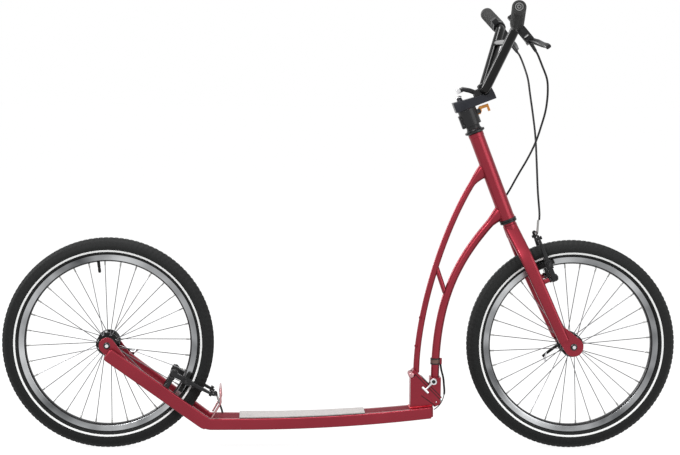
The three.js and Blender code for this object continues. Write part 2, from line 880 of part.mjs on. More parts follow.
function deckRail(side) {
  const middle = railWidth / 2;
  const centreZ = deckBottom + railHeight / 2;
  const frontX = deckFrontX - middle;
  const arcTurn = Math.asin((frontX - railArcStart) / railArcRadius);
  const arcCornerX = railArcStart + railArcRadius * Math.tan(arcTurn / 2);
  const frontZ = centreZ + (frontX - arcCornerX) * Math.tan(arcTurn);
  const stayEnd = at(rearAxle.x, side * (stayEndHalf - middle), rearAxle.z - stayEndDrop);
  const deckCorner = at(deckRearX, side * (deckRearHalf - middle), centreZ);
  const past = stayEnd.clone().add(stayEnd.clone().sub(deckCorner).setLength(overrun));
  const path = bentPath([
    at(frontX, side * fit, frontZ),
    at(frontX, side * (deckFrontHalf - middle), frontZ),
    at(arcCornerX, side * (deckHalf(arcCornerX) - middle), centreZ),
    deckCorner,
    past,
  ], [deckCornerRadius, railArcRadius, stayBendRadius], railSteps);
  const height = (share, point) => (point.x < deckRearX ? stayHeight : railHeight);
  const rail = sweepBar(path, at(0, 0, 1), () => railWidth, height);
  const y = side * stayEndHalf;
  const acrossAxle = (radius, segments) => rod(
    radius,
    at(rearAxle.x, -y, rearAxle.z),
    at(rearAxle.x, y + side * overrun, rearAxle.z),
    { segments },
  );
  const behind = box(
    at(rearAxle.x - stayHeight, -stayEndHalf - overrun, 0),
    at(rearAxle.x + fit, stayEndHalf + overrun, rearAxle.z),
  );
  const topReachShares = [1.7, -1.3];
  const bottomReachShares = [0.6, -1.45];
  const near = ([x, z]) => [
    rearAxle.x + x * stayHeight,
    rearAxle.z + z * stayHeight,
  ];
  const eyeCentre = [rearAxle.x, rearAxle.z];
  const eye = teardrop(eyeCentre, rearDropoutRadius, near(topReachShares), near(bottomReachShares));
  const yLow = side > 0 ? dropoutInner : -dropoutOuter;
  const plate = sidePlate(eye, yLow, yLow + dropoutThickness);
  const solid = join(
    cut(rail, acrossAxle(flat(rearNotchRadius, hubSegments), hubSegments), behind),
    plate,
    brakeBoss(-side, rearBrakeFrame, rearBossBack),
  );
  return cut(solid, acrossAxle(axleHole, roundSides));
}

// Sheet that follows the footboard's line
function deckSheet(fromX, toX, half, low, thickness, steps) {
  const rings = [];
  for (let step = 0; step <= steps; step += 1) {
    const x = lerp(fromX, toX, step / steps);
    const z = low + deckRise(x);
    const y = half(x);
    rings.push([at(x, -y, z), at(x, y, z), at(x, y, z + thickness), at(x, -y, z + thickness)]);
  }
  return toSolid(loft(rings));
}

function heelGuard() {
  const footZ = deckTop + fit;
  const leg = (side) => [
    at(guardFootX, side * guardFootHalf, footZ + guardRadius / 2),
    at(guardKneeX, side * guardHalf, guardKneeZ),
    at(guardTopX, side * guardHalf, guardTopZ),
  ];
  const corners = [...leg(-1), ...leg(1).reverse()];
  const radii = [guardBend, guardBend, guardBend, guardBend];
  const wire = bentTube(guardRadius, corners, radii, bendSteps, smallSides);
  const under = box(
    at(guardFootX - overrun, -guardHalf - overrun, footZ - overrun),
    at(guardKneeX, guardHalf + overrun, footZ),
  );
  return cut(wire, under);
}

// Frame of the fold: x along the meeting faces, z square to them, with its origin on the pin
const foldFrame = new THREE.Matrix4()
  .makeRotationY(radians(foldSlope))
  .setPosition(foldX, 0, foldZ);
const folded = (x, y, z) => at(x, y, z).applyMatrix4(foldFrame);
const boltEyeY = -(gussetHalf + fit + boltNutRadius);

function knuckle(radius, yLow, yHigh) {
  return rod(radius, at(foldX, yLow, foldZ), at(foldX, yHigh, foldZ));
}

function hingeGusset() {
  const faceEnd = folded(foldLength, 0, foldFace);
  const faceTop = folded(0, 0, foldFace);
  const outline = [];
  for (let step = 0; step <= bendSteps; step += 1) {
    const x = lerp(gussetRearX, deckFrontX, step / bendSteps);
    outline.push([x, deckTop + deckRise(x) + 3 * fit]);
  }
  outline.push([faceEnd.x, faceEnd.z], [faceTop.x, faceTop.z], [gussetRearX, foldZ]);
  const body = join(
    sidePlate(outline, -gussetHalf, gussetHalf),
    knuckle(knuckleRadius, -knuckleHalf, knuckleHalf),
  );
  const cheeks = sides.map(([, side]) => {
    const yLow = side > 0 ? knuckleHalf : -gussetHalf - overrun;
    const yHigh = side > 0 ? gussetHalf + overrun : -knuckleHalf;
    const room = knuckleRadius + 2 * fit;
    return join(
      knuckle(flat(room), yLow, yHigh),
      box(at(-room, yLow, 0), at(room, yHigh, foldFace + overrun), foldFrame),
    );
  });
  return cut(body, ...cheeks, knuckle(flat(pinRadius + fit), -gussetHalf, gussetHalf));
}

function hingePin() {
  const half = gussetHalf + fit;
  const head = (side) => knuckle(
    pinHeadRadius,
    Math.min(side * half, side * (half + pinHeadLength)),
    Math.max(side * half, side * (half + pinHeadLength)),
  );
  return join(knuckle(pinRadius, -half - fit, half + fit), head(-1), head(1));
}

function hingeLeaf() {
  const low = foldFace + fit + fit / 2;
  const plate = box(
    at(-leafTail, -gussetHalf, low),
    at(foldLength, gussetHalf, low + leafThickness),
    foldFrame,
  );
  const onPlate = (x) => {
    const slopeTop = foldX + foldZ + (low + leafThickness / 2) * Math.SQRT2;
    return [x, slopeTop - x];
  };
  const block = sidePlate(
    [onPlate(blockRearX), onPlate(blockFrontX), [blockFrontX, blockTopZ], [blockRearX, blockTopZ]],
    -gussetHalf,
    gussetHalf,
  );
  const knuckles = sides.map(([, side]) => {
    const inner = knuckleHalf + fit;
    const yLow = side > 0 ? inner : -gussetHalf;
    const yHigh = side > 0 ? gussetHalf : -inner;
    return join(
      knuckle(knuckleRadius, yLow, yHigh),
      box(at(-leafTail, yLow, 0), at(leafTail, yHigh, low + leafThickness / 2), foldFrame),
    );
  });
  const pinSpace = knuckle(flat(pinRadius + fit), -gussetHalf, gussetHalf);
  return join(cut(join(plate, block, ...knuckles), pinSpace), boltStud());
}

// Headed stud on the right side of the leaf's block, on which the swing bolt turns
function boltStud() {
  const headStart = boltEyeY - boltEyeWidth / 2 - fit;
  const onStud = (y) => folded(boltAlong, y, boltEyeHeight);
  return join(
    rod(boltRodRadius, onStud(-gussetHalf + overrun), onStud(headStart)),
    rod(boltStudHeadRadius, onStud(headStart), onStud(headStart - boltStudHeadLength)),
  );
}

function swingBolt() {
  const half = boltEyeWidth / 2;
  const place = (x, y, z) => folded(boltAlong + x, boltEyeY + y, z);
  const nutHeight = boltEyeHeight - boltRodLength;
  const eye = rod(boltEyeRadius, place(0, -half, boltEyeHeight), place(0, half, boltEyeHeight));
  const shank = rod(boltRodRadius, place(0, 0, boltEyeHeight - boltRodRadius), place(0, 0, nutHeight));
  const bore = rod(
    flat(boltRodRadius + fit),
    place(0, -half - fit, boltEyeHeight),
    place(0, half + fit, boltEyeHeight),
  );
  const nut = rod(
    boltNutRadius,
    place(-boltNutLength / 2, 0, nutHeight),
    place(boltNutLength / 2, 0, nutHeight),
  );
  return join(cut(join(eye, shank), bore), nut);
}

function slopeBack(angle, length) {
  return at(-Math.cos(radians(angle)), 0, -Math.sin(radians(angle))).multiplyScalar(length);
}

function upperTubePath() {
  const top = steered(-upperTubeTopInset, 0, headHigh - upperTubeTopDrop);
  const foot = at(upperTubeFootX, 0, upperTubeFootZ);
  return new THREE.CubicBezierCurve3(
    top,
    top.clone().add(slopeBack(upperTubeTopSlope, upperTubeTopPull)),
    foot.clone().add(at(0, 0, upperTubeFootPull)),
    foot,
  );
}

function lowerTubePath() {
  const top = steered(-lowerTubeTopInset, 0, headLow + lowerTubeTopRise);
  const foot = at(lowerTubeFootX, 0, blockTopZ + fit);
  return new THREE.CubicBezierCurve3(
    top,
    top.clone().add(slopeBack(lowerTubeTopSlope, lowerTubeTopPull)),
    foot.clone().add(at(0, 0, lowerTubeFootPull)),
    foot,
  );
}

// Place on a curve at a height
function pointAtHeight(path, height) {
  let low = 0;
  let high = 1;
  const halvings = 24;
  for (let i = 0; i < halvings; i += 1) {
    const middle = (low + high) / 2;
    if (path.getPoint(middle).z > height) low = middle;
    else high = middle;
  }
  return { point: path.getPoint(low), tangent: path.getTangent(low) };
}

function headTubeSpace() {
  return rod(
    flat(flat(headRadius, headSegments) + fit, headSegments),
    steered(0, 0, headLow - 2 * flareLength),
    steered(0, 0, headHigh + flareLength),
    { segments: headSegments },
  );
}

function flare(path, radius, endRadius) {
  const start = path.getPoint(0);
  const heading = path.getTangent(0);
  return rod(radius, start, start.clone().addScaledVector(heading, flareLength), { endRadius });
}

function upperFrameTube() {
  const path = upperTubePath();
  const bosses = tubeBossZ.map((height) => {
    const { point } = pointAtHeight(path, height);
    const outward = at(-1, -1, 0).normalize();
    const end = point.clone().addScaledVector(outward, upperTubeRadius + tubeBossProud);
    return rod(tubeBossRadius, point, end);
  });
  const leafTop = foldFace + fit + fit / 2 + leafThickness + fit;
  const below = box(
    at(-foldLength, -gussetHalf, -foldLength),
    at(foldLength, gussetHalf, leafTop),
    foldFrame,
  );
  return cut(
    join(
      tube(upperTubeRadius, path, frameTubeSteps, frameSides),
      flare(path, upperFlareRadius, upperTubeRadius),
      ...bosses,
    ),
    headTubeSpace(),
    below,
  );
}

function lowerFrameTube() {
  const path = lowerTubePath();
  const upright = (radius, x) => rod(radius, at(x, 0, collarLow), at(x, 0, collarLow + collarHeight));
  return cut(
    join(
      tube(lowerTubeRadius, path, frameTubeSteps, frameSides),
      flare(path, lowerFlareRadius, lowerTubeRadius),
      upright(collarRadius, lowerTubeFootX),
      upright(cableStopRadius, blockFrontX),
    ),
    headTubeSpace(),
  );
}

function frameBrace() {
  const upper = upperTubePath();
  const lower = lowerTubePath();
  const bar = rod(
    braceRadius,
    pointAtHeight(upper, braceTopZ).point,
    pointAtHeight(lower, braceFootZ).point,
  );
  return cut(
    bar,
    tube(flat(upperTubeRadius + fit), upper, frameTubeSteps, frameSides),
    tube(flat(lowerTubeRadius + fit), lower, frameTubeSteps, frameSides),
  );
}

function buildRearFrame(parent) {
  for (const [name, side] of sides) {
    piece(parent, `deck_rail_${name}`, "framePaint", deckRail(side));
  }
  const panHalf = (x) => deckHalf(x) - railWidth - fit;
  const panFrontX = deckFrontX - railWidth / 2 - deckCornerRadius - fit;
  piece(parent, "deck_pan", "framePaint",
    deckSheet(panRearX, panFrontX, panHalf, deckTop - panThickness, panThickness, panSteps));
  const padHalf = (x) => deckHalf(x) - padMargin;
  piece(parent, "deck_grip_pad", "padGrey",
    deckSheet(padRearX, padFrontX, padHalf, deckTop + 2 * fit, padThickness, padSteps));
  piece(parent, "heel_guard", "blackPaint", heelGuard());
  piece(parent, "hinge_gusset", "framePaint", hingeGusset());
  piece(parent, "hinge_pin", "framePaint", hingePin());
}

function buildFrontFrame(parent, steeringAxis) {
  const headBore = headRadius - headWall;
  const cupBore = steererRadius + fit;
  const ring = (radius, bore, low, high) => turnUp(
    [[bore, low], [radius, low], [radius, high], [bore, high]],
    headSegments,
  );
  piece(steeringAxis, "head_tube", "framePaint", ring(headRadius, headBore, headLow, headHigh));
  piece(steeringAxis, "headset_cup_lower", "blackPaint",
    ring(lowerCupRadius, cupBore, headLow - fit - lowerCupHeight, headLow - fit));
  piece(steeringAxis, "headset_cup_upper", "blackPaint",
    ring(upperCupRadius, cupBore, headHigh + fit, headHigh + fit + upperCupHeight));
  piece(parent, "upper_frame_tube", "framePaint", upperFrameTube());
  piece(parent, "lower_frame_tube", "framePaint", lowerFrameTube());
  piece(parent, "frame_brace", "framePaint", frameBrace());
  piece(parent, "hinge_leaf", "framePaint", hingeLeaf());
  piece(parent, "hinge_swing_bolt", "polished", swingBolt());
}

function forkCrown() {
  const raceTop = headLow - fit - lowerCupHeight - fit;
  const chamferShare = 0.92;
  const chamferRiseShare = 0.2;
  return turnUp([
    [0, crownLow],
    [crownRadius * chamferShare, crownLow],
    [crownRadius, lerp(crownLow, crownHigh, chamferRiseShare)],
    [crownRadius, crownHigh],
    [raceRadius, crownHigh],
    [raceRadius, raceTop],
    [steererRadius, raceTop],
    [steererRadius, steererTop],
    [0, steererTop],
  ], headSegments);
}

function forkBlade(side) {
  const footShare = 0.53;
  const centreX = (height) => forkOffset * footShare - (height - bladeFoot) * Math.tan(radians(bladeRake));
  const inner = crownRadius - overrun;
  const path = bentPath([
    at(centreX(shoulderHeight), side * inner, shoulderHeight),
    at(centreX(shoulderHeight), side * bladeHalf, shoulderHeight),
    at(centreX(bladeFoot), side * bladeHalf, bladeFoot),
  ], [shoulderRadius], shoulderSteps);
  const blade = sweepBar(path, at(1, 0, 0), () => bladeWidth, () => bladeDepth);
  const crown = rod(
    flat(flat(crownRadius, headSegments) + fit, headSegments),
    at(0, 0, crownLow - bladeWidth),
    at(0, 0, crownHigh + bladeWidth),
    { segments: headSegments },
  );
  const eyeWidthShare = 0.42;
  const rearRiseShare = 0.3;
  const frontPoint = [centreX(bladeFoot) + bladeDepth * eyeWidthShare, bladeFoot + bladeDepth];
  const rearPoint = [centreX(bladeFoot) - bladeDepth * eyeWidthShare, bladeFoot + bladeDepth * rearRiseShare];
  const eye = teardrop([forkOffset, 0], forkDropoutRadius, rearPoint, frontPoint);
  const yLow = side > 0 ? dropoutInner : -dropoutOuter;
  const bracketX = forkOffset - forkBossBack;
  const bracketEnds = [side * (brakePivotHalf - bossRadius), side * (bladeHalf - bladeWidth / 2 + fit)];
  const bracket = box(
    at(bracketX, Math.min(...bracketEnds), brakePivot - bossRadius),
    at(bracketX + bossRadius * 2, Math.max(...bracketEnds), brakePivot + bossRadius),
  );
  const solid = join(
    cut(blade, crown),
    sidePlate(eye, yLow, yLow + dropoutThickness),
    bracket,
    brakeBoss(side, frontBrakeFrame, forkBossBack),
  );
  const hole = rod(axleHole, at(forkOffset, -bladeHalf * 2, 0), at(forkOffset, bladeHalf * 2, 0));
  const nutSpace = rod(
    flat(rearNotchRadius - fit, hubSegments),
    at(forkOffset, side * dropoutOuter, 0),
    at(forkOffset, side * bladeHalf * 2, 0),
    { segments: hubSegments },
  );
  return cut(solid, hole, nutSpace);
}

function stemBody() {
  const bore = steererRadius + fit;
  const neckTop = stemLow + stemNeckHeight;
  const body = turnUp([
    [bore, stemLow],
    [stemNeckRadius, stemLow],
    [stemNeckRadius, neckTop],
    [stemBodyRadius, neckTop],
    [stemBodyRadius, stemBodyTop],
    [bore, stemBodyTop],
  ], headSegments);
  const inner = safetyLeverHalf + fit;
  const ears = sides.map(([, side]) => {
    const edges = [side * inner, side * (inner + safetyEarThickness)];
    return box(
      at(stemBodyRadius - safetyEarThickness * 2, Math.min(...edges), safetyPivotZ - inner),
      at(safetyLeverX + safetyEarThickness, Math.max(...edges), safetyPivotZ + inner),
    );
  });
  const pin = rod(
    safetyPinRadius,
    at(safetyLeverX, -inner - safetyEarThickness, safetyPivotZ),
    at(safetyLeverX, inner + safetyEarThickness, safetyPivotZ),
    { segments: smallSides },
  );
  return join(body, ...ears, pin);
}

function barSpace(extra) {
  return rod(
    flat(barRadius + extra),
    at(barForward, -2 * stemBlockHalf, barHeight),
    at(barForward, 2 * stemBlockHalf, barHeight),
  );
}

function stemBlock() {
  const frontFaceShare = 0.45;
  const outline = [
    [stemBlockRear, stemBlockLow],
    [stemBlockFront, stemBlockLow],
    [stemBlockFront, lerp(stemBlockLow, barHeight, frontFaceShare)],
    [stemBlockFront - stemBlockChamfer, barHeight],
    [clampRear + 2 * fit, barHeight],
    [clampRear + 2 * fit, stemStep],
    [stemLeverX, stemStep],
    [stemBlockRear, stemBlockTop],
  ];
  const bore = rod(
    flat(steererRadius + fit, headSegments),
    at(0, 0, stemBlockLow - overrun),
    at(0, 0, steererTop + fit),
    { segments: headSegments },
  );
  const capX = -topCapRadius;
  const capTaperShare = 0.7;
  const cap = rod(
    topCapRadius,
    at(capX, 0, stemStep - steererLid / 2),
    at(capX, 0, stemBlockTop + topCapHeight),
    { endRadius: topCapRadius * capTaperShare },
  );
  return join(cut(sidePlate(outline, -stemBlockHalf, stemBlockHalf), bore, barSpace(fit)), cap);
}

function barClamp() {
  const low = barHeight + fit;
  const archFront = 45;
  const archRear = 130;
  const arch = [];
  for (let step = 0; step <= archSteps; step += 1) {
    const angle = radians(lerp(archFront, archRear, step / archSteps));
    arch.push([
      barForward + clampArchRadius * Math.cos(angle),
      barHeight + clampArchRadius * Math.sin(angle),
    ]);
  }
  const flange = low + stemBlockStep;
  const cap = sidePlate([
    [clampRear, low],
    [stemBlockFront, low],
    [stemBlockFront, flange],
    ...arch,
    [clampRear, flange],
  ], -clampHalf, clampHalf);
  const slotHalf = stemLeverHalf + fit;
  const slotFront = barForward - clampArchRadius / 4;
  const slot = box(
    at(0, -slotHalf, barHeight - overrun),
    at(slotFront, slotHalf, barHeight + 2 * clampArchRadius),
  );
  const ears = sides.map(([, side]) => box(
    at(stemLeverX - stemLeverRadius, Math.min(side * slotHalf, side * clampHalf), stemStep + 2 * fit),
    at(clampRear + fit, Math.max(side * slotHalf, side * clampHalf), stemLeverZ + stemLeverRadius),
  ));
  const pin = rod(
    stemPinRadius,
    at(stemLeverX, -clampHalf, stemLeverZ),
    at(stemLeverX, clampHalf, stemLeverZ),
  );
  return cut(join(cut(cap, slot), ...ears, pin), barSpace(fit));
}

function stemQuickRelease() {
  const pathShares = [[0, 0], [0.27, 0.5], [0.6, 0.95], [1, 0.9]];
  const points = pathShares.map(([back, up]) => at(
    stemLeverX - back * stemLeverReach,
    0,
    stemLeverZ + up * stemLeverArch,
  ));
  const handle = sweepBar(
    chained(points),
    at(0, 0, 1),
    () => 2 * stemLeverHalf,
    () => stemLeverThickness,
  );
  const root = rod(
    flat(stemLeverRadius),
    at(stemLeverX, -stemLeverHalf, stemLeverZ),
    at(stemLeverX, stemLeverHalf, stemLeverZ),
  );
  const bore = rod(
    flat(stemPinRadius + fit),
    at(stemLeverX, -2 * stemLeverHalf, stemLeverZ),
    at(stemLeverX, 2 * stemLeverHalf, stemLeverZ),
  );
  return cut(join(handle, root), bore);
}

function stemSafetyLever() {
  const outlineShares = [
    [-0.12, -0.25], [0.12, -0.5], [0.25, 0.25], [0.78, 0.25], [0.78, -1.1],
    [1, -1.1], [1, 1.1], [0.12, 1.25], [-0.12, 0.6],
  ];
  const outline = outlineShares.map(([x, z]) => [
    safetyLeverX + x * safetyLeverReach,
    safetyPivotZ + z * safetyLeverBar,
  ]);
  const bore = rod(
    flat(safetyPinRadius + fit, smallSides),
    at(safetyLeverX, -2 * safetyLeverHalf, safetyPivotZ),
    at(safetyLeverX, 2 * safetyLeverHalf, safetyPivotZ),
    { segments: smallSides },
  );
  return cut(sidePlate(outline, -safetyLeverHalf, safetyLeverHalf), bore);
}

const barCorner = (side) => at(barCornerX, side * barCornerHalf, barHeight + barCornerRise);
const barEnd = (side) => {
  const climb = Math.tan(radians(barGripRise)) * (barEndHalf - barCornerHalf);
  return at(barCornerX, side * barEndHalf, barHeight + barCornerRise + climb);
};

function handlebar() {
  const saddle = (side) => at(barForward, side * barSaddleHalf, barHeight);
  const corners = [barEnd(1), barCorner(1), saddle(1), saddle(-1), barCorner(-1), barEnd(-1)];
  const bends = [barBend, barSaddleBend, barSaddleBend, barBend];
  const bar = bentTube(barRadius, corners, bends, barBendSteps);
  const onLeg = (side) => saddle(side).lerp(barCorner(side), crossbarShare);
  return join(bar, rod(crossbarRadius, onLeg(-1), onLeg(1)));
}

function grip(side) {
  const end = barEnd(side);
  const inward = barCorner(side).sub(end).normalize();
  const outer = end.clone().addScaledVector(inward, -gripEndWall);
  const bore = barRadius + fit;
  const inner = gripEndWall - fit;
  return turnUp([
    [0, 0],
    [gripRadius, 0],
    [gripRadius, gripLength],
    [bore, gripLength],
    [bore, inner],
    [0, inner],
  ], roundSides, facing(outer, end));
}

// Frame of a brake lever: x down its bracket, y outward along the bar, origin on the bar's centreline
function leverFrame(side) {
  const outward = barEnd(side).sub(barCorner(side)).normalize();
  const forward = at(Math.cos(radians(leverPitch)), 0, Math.sin(radians(leverPitch)));
  const down = forward.clone().addScaledVector(outward, -forward.dot(outward)).normalize().cross(outward);
  const bracketDown = down.z > 0 ? down.negate() : down;
  const third = bracketDown.clone().cross(outward);
  const origin = barCorner(side).addScaledVector(outward, (leverHalf - barCornerHalf) / Math.abs(outward.y));
  return new THREE.Matrix4().makeBasis(bracketDown, outward, third).setPosition(origin);
}

function leverBracket() {
  const collar = cut(
    rod(flat(leverCollarRadius), at(0, -collarLength / 2, 0), at(0, collarLength / 2, 0)),
    rod(flat(barRadius + fit), at(0, -collarLength, 0), at(0, collarLength, 0)),
  );
  const half = bracketWidth / 2;
  const joinShare = 0.6;
  const armStart = lerp(barRadius, leverCollarRadius, joinShare);
  const slotHalf = bladeThickness / 2 + fit;
  const slotStart = bracketPivot - bracketHalf;
  const arm = cut(
    box(at(armStart, -half, -bracketHalf), at(bracketLength, half, bracketHalf)),
    box(at(slotStart, -bracketLength, -slotHalf), at(2 * bracketLength, bracketLength, slotHalf)),
  );
  const heelLow = bracketPivot + bracketHeelSetback;
  const heel = box(
    at(heelLow, -half - barrelRadius, -bracketHalf),
    at(bracketLength, -half + 2 * fit, bracketHalf),
  );
  const barrelStart = at((heelLow + bracketLength) / 2, -half - barrelRadius / 2, 0);
  const barrelEnd = at(barrelTipDown, -barrelTipIn, 0);
  const barrel = rod(barrelRadius, barrelStart, barrelEnd, { endRadius: barrelTipRadius });
  const pin = rod(
    leverPinRadius,
    at(bracketPivot, 0, -bracketHalf),
    at(bracketPivot, 0, bracketHalf),
    { segments: smallSides },
  );
  const armSpace = box(at(armStart, -half, -bracketHalf), at(2 * leverCollarRadius, half, bracketHalf));
  const clampBlock = box(
    at(-clampBlockReach, -collarLength / 2, -clampBlockHalf),
    at(-armStart, collarLength / 2, clampBlockHalf),
  );
  return join(cut(collar, armSpace), clampBlock, arm, heel, barrel, pin);
}

function leverBlade() {
  const pathShares = [[0, 0], [0.48, 0.24], [0.78, 0.6], [0.95, 0.92], [1.04, 1]];
  const points = pathShares.map(([down, out]) => at(bracketPivot + down * leverReach, out * leverSpan, 0));
  const blade = sweepBar(chained(points), at(0, 0, 1), () => bladeHeight, () => bladeThickness);
  const half = bladeThickness / 2;
  const root = rod(bladeHeight / 2, at(bracketPivot, 0, -half), at(bracketPivot, 0, half));
  const bore = rod(
    flat(leverPinRadius + fit, smallSides),
    at(bracketPivot, 0, -bladeThickness),
    at(bracketPivot, 0, bladeThickness),
    { segments: smallSides },
  );
  return cut(join(blade, root), bore);
}

function buildSteering(parent) {
  piece(parent, "fork_crown", "blackPaint", forkCrown());
  for (const [name, side] of sides) {
    piece(parent, `fork_blade_${name}`, "framePaint", forkBlade(side));
  }
  piece(parent, "stem_body", "blackPaint", stemBody());
  piece(parent, "stem_block", "blackPaint", stemBlock());
  piece(parent, "bar_clamp", "blackPaint", barClamp());
  piece(parent, "stem_quick_release", "blackPaint", stemQuickRelease());
  piece(parent, "stem_safety_lever", "orange", stemSafetyLever());
  piece(parent, "handlebar", "blackPaint", handlebar());
  for (const [name, side] of sides) {
    piece(parent, `grip_${name}`, "gripRubber", grip(side));
    const lever = new THREE.Group();
    lever.applyMatrix4(leverFrame(side));
    parent.add(lever);
    piece(lever, `brake_lever_bracket_${name}`, "blackPaint", leverBracket());
    piece(lever, `brake_lever_${name}`, "blackPaint", leverBlade());
  }
}

// Cables along points chosen by hand, each [x, y, z] from the place named with it
const frontBrakeRoute = [
  [26.77, 150.75, 425.43], [30.97, 148.1, 419.53], [35.17, 141.5, 409.23], [40.67, 126, 390.23],
  [46.67, 100, 360.23], [48.67, 75, 325.23], [52.67, 45, 272.23], [54.67, 15, 223.23],
  [55.67, -5, 165.23], [57.67, -20, 94.23], [60.67, -31, 44.23], [59.17, -40, 30.23],
];
const rearBrakeRoute = [
  [26.77, -150.75, 425.43], [30.97, -148.1, 419.53], [36.67, -144, 408.23], [43.97, -138, 392.83],
  [58.17, -122, 362.63], [64.17, -100, 335.03], [65.67, -80, 306.23], [64.67, -62, 282.23],
  [60.07, -42, 253.93], [51.17, -18, 214.23], [36.87, 4, 175.23], [14.47, 20, 130.93],
  [-8.13, 27, 87.73], [-30.33, 27, 56.23], [-49.33, 20, 31.23], [-66.33, 13.2, 9.23],
];
const foldLoopRoute = [
  [71, 0, 23.6], [73.5, 0, 9], [78, 0, -8], [80, 0, -25],
  [81, 0, -48], [74, 0, -69], [64, 0, -81], [57, 0, -86],
];
const rearBrakeStubRoute = [
  [20.5, 33, 0.7], [18.5, 34.2, 8], [16.1, 34.9, 15], [13.5, 35, 22.5],
];

function cable(anchor, route, steps) {
  const points = route.map(([x, y, z]) => anchor.clone().add(at(x, y, z)));
  const path = new THREE.CatmullRomCurve3(points, false, "centripetal");
  return tube(cableRadius, path, steps, smallSides);
}

function buildCables(parent) {
  const crown = steered(0, 0, shoulderHeight);
  const hinge = folded(0, 0, 0);
  const deckEnd = at(rearTyreX, 0, deckTop);
  const cables = [
    ["front_brake_cable", crown, frontBrakeRoute, frontCableSteps],
    ["rear_brake_lever_cable", crown, rearBrakeRoute, leverCableSteps],
    ["fold_cable_loop", hinge, foldLoopRoute, loopSteps],
    ["rear_brake_cable", deckEnd, rearBrakeStubRoute, stubSteps],
  ];
  for (const [name, anchor, route, steps] of cables) {
    piece(parent, name, "cableSheath", cable(anchor, route, steps));
  }
}

const scooter = new THREE.Group();
const steeringAxis = new THREE.Group();
steeringAxis.position.copy(steeringFoot);
steeringAxis.rotation.y = -rake;
scooter.add(steeringAxis);

buildRearFrame(scooter);
buildFrontFrame(scooter, steeringAxis);
buildSteering(steeringAxis);
buildWheel(scooter, "rear", rearAxle, {
  valveAngle: rearValveAngle,
  camLength: rearCamLength,
  heading: 1,
});
buildWheel(scooter, "front", frontAxle, {
  valveAngle: frontValveAngle,
  camLength: frontCamLength,
  heading: -1,
});
buildRimBrake(scooter, "rear", rearBrakeFrame, {
  names: [["right", 1], ["left", -1]],
  noodleFrom: rearNoodleFrom,
});
buildRimBrake(steeringAxis, "front", frontBrakeFrame, { names: sides, noodleFrom: frontNoodleFrom });
buildCables(scooter);

export default scooter;
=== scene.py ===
"""Looks of an adult kick scooter, built around its solids.

Metres and degrees. X points forward, Y to the rider's left, Z up. The origin is on the ground, halfway
between the points where the two tyres touch it.
"""

import json
import math

import bmesh
import bpy
from mathutils import Matrix, Vector


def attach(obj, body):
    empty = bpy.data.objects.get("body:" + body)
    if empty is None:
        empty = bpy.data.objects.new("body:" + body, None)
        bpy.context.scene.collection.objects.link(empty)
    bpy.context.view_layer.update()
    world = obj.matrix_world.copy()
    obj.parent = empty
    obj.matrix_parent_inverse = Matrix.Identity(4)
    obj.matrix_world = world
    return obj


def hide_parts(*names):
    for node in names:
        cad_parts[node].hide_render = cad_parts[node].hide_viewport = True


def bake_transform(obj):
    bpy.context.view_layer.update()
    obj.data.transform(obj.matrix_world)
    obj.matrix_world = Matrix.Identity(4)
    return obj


# Stance
WHEELBASE = 1.103
WHEEL_RADIUS = 0.250
HEAD_ANGLE = 68.6
FORK_OFFSET = 0.036
FIT = 0.0003

# Tyre; angles run around its section, from the crown
SECTION_RADIUS = 0.0235
CENTRE_RIB_HALF = 0.003
CROWN_HALF = 0.008
TREAD_EDGE_ANGLE = 62
SHOULDER_ANGLES = (30, 41, 52, TREAD_EDGE_ANGLE, 74, 86)
STRIPE_FROM = 101
STRIPE_TO = 112
BEAD_ANGLE = 121
INSIDE_ANGLE = 130
TYRE_WALL = 0.0032
TREAD_DEPTH = 0.0010
TREAD_BLOCKS = 126
TREAD_LEAN_SHARE = 0.55
GROOVE_SHARE = 0.32
CENTRE_RIB_SHARE = 0.1

# Rim and valve
RIM_RADIUS = 0.211
RIM_HALF_WIDTH = 0.012
RIM_WALL = 0.0018
RIM_DEPTH = 0.017
RIM_WELL_DEPTH = 0.007
RIM_BED_HALF = 0.008
RIM_BED_TAPER = 1.3
RIM_BED_FACES = range(5, 11)
TRACK_DEPTH = 0.0125
VALVE_RADIUS = 0.0036
VALVE_REACH = 0.027
VALVE_SHARES = ((1, 0), (1, 0.5), (0.86, 0.55), (0.86, 0.62), (1, 0.66), (1, 0.9), (0.7, 0.98))
REAR_VALVE_ANGLE = 7
FRONT_VALVE_ANGLE = 28

# Hub, axle and spokes
AXLE_RADIUS = 0.0047
SHELL_RADIUS = 0.013
CONE_RADIUS = 0.010
FLANGE_RADIUS = 0.0275
FLANGE_WIDTH = 0.003
FLANGE_OUTER = 0.030
SPOKE_RADIUS = 0.001
SPOKE_HOLE_RADIUS = 0.023
SPOKE_STANDOFF = 0.0025
SPOKE_RIM_HALF = 0.002
NIPPLE_RADIUS = 0.0019
NIPPLE_LENGTH = 0.011
SPOKES_PER_SIDE = 16
SPOKES_CROSSED = 8
REAR_SPOKE_PHASE = 8.75
FRONT_SPOKE_PHASE = 17.5
NUT_RADIUS = 0.008
NUT_LENGTH = 0.006
NUT_SHARES = ((1, 0), (1, 0.3), (0.8, 0.45), (0.72, 0.95), (0.6, 1))
CAM_RADIUS = 0.008
CAM_SHARES = ((1, 0), (1, 0.7), (0.85, 0.95), (0.7, 1))
FRONT_CAM_LENGTH = 0.008
REAR_CAM_LENGTH = 0.0174
DROPOUT_INNER = 0.0503
DROPOUT_THICKNESS = 0.006
AXLE_OUTER = DROPOUT_INNER + DROPOUT_THICKNESS + FIT

# Wheel release levers
RELEASE_CENTRE = 0.0062
RELEASE_INWARD = 0.0555
RELEASE_DROP = 0.041
RELEASE_CAM_REACH = 0.012
RELEASE_SLIM_SHARE = 0.50
RELEASE_CURL = 0.016
RELEASE_HOOK_RADIUS = 0.0032

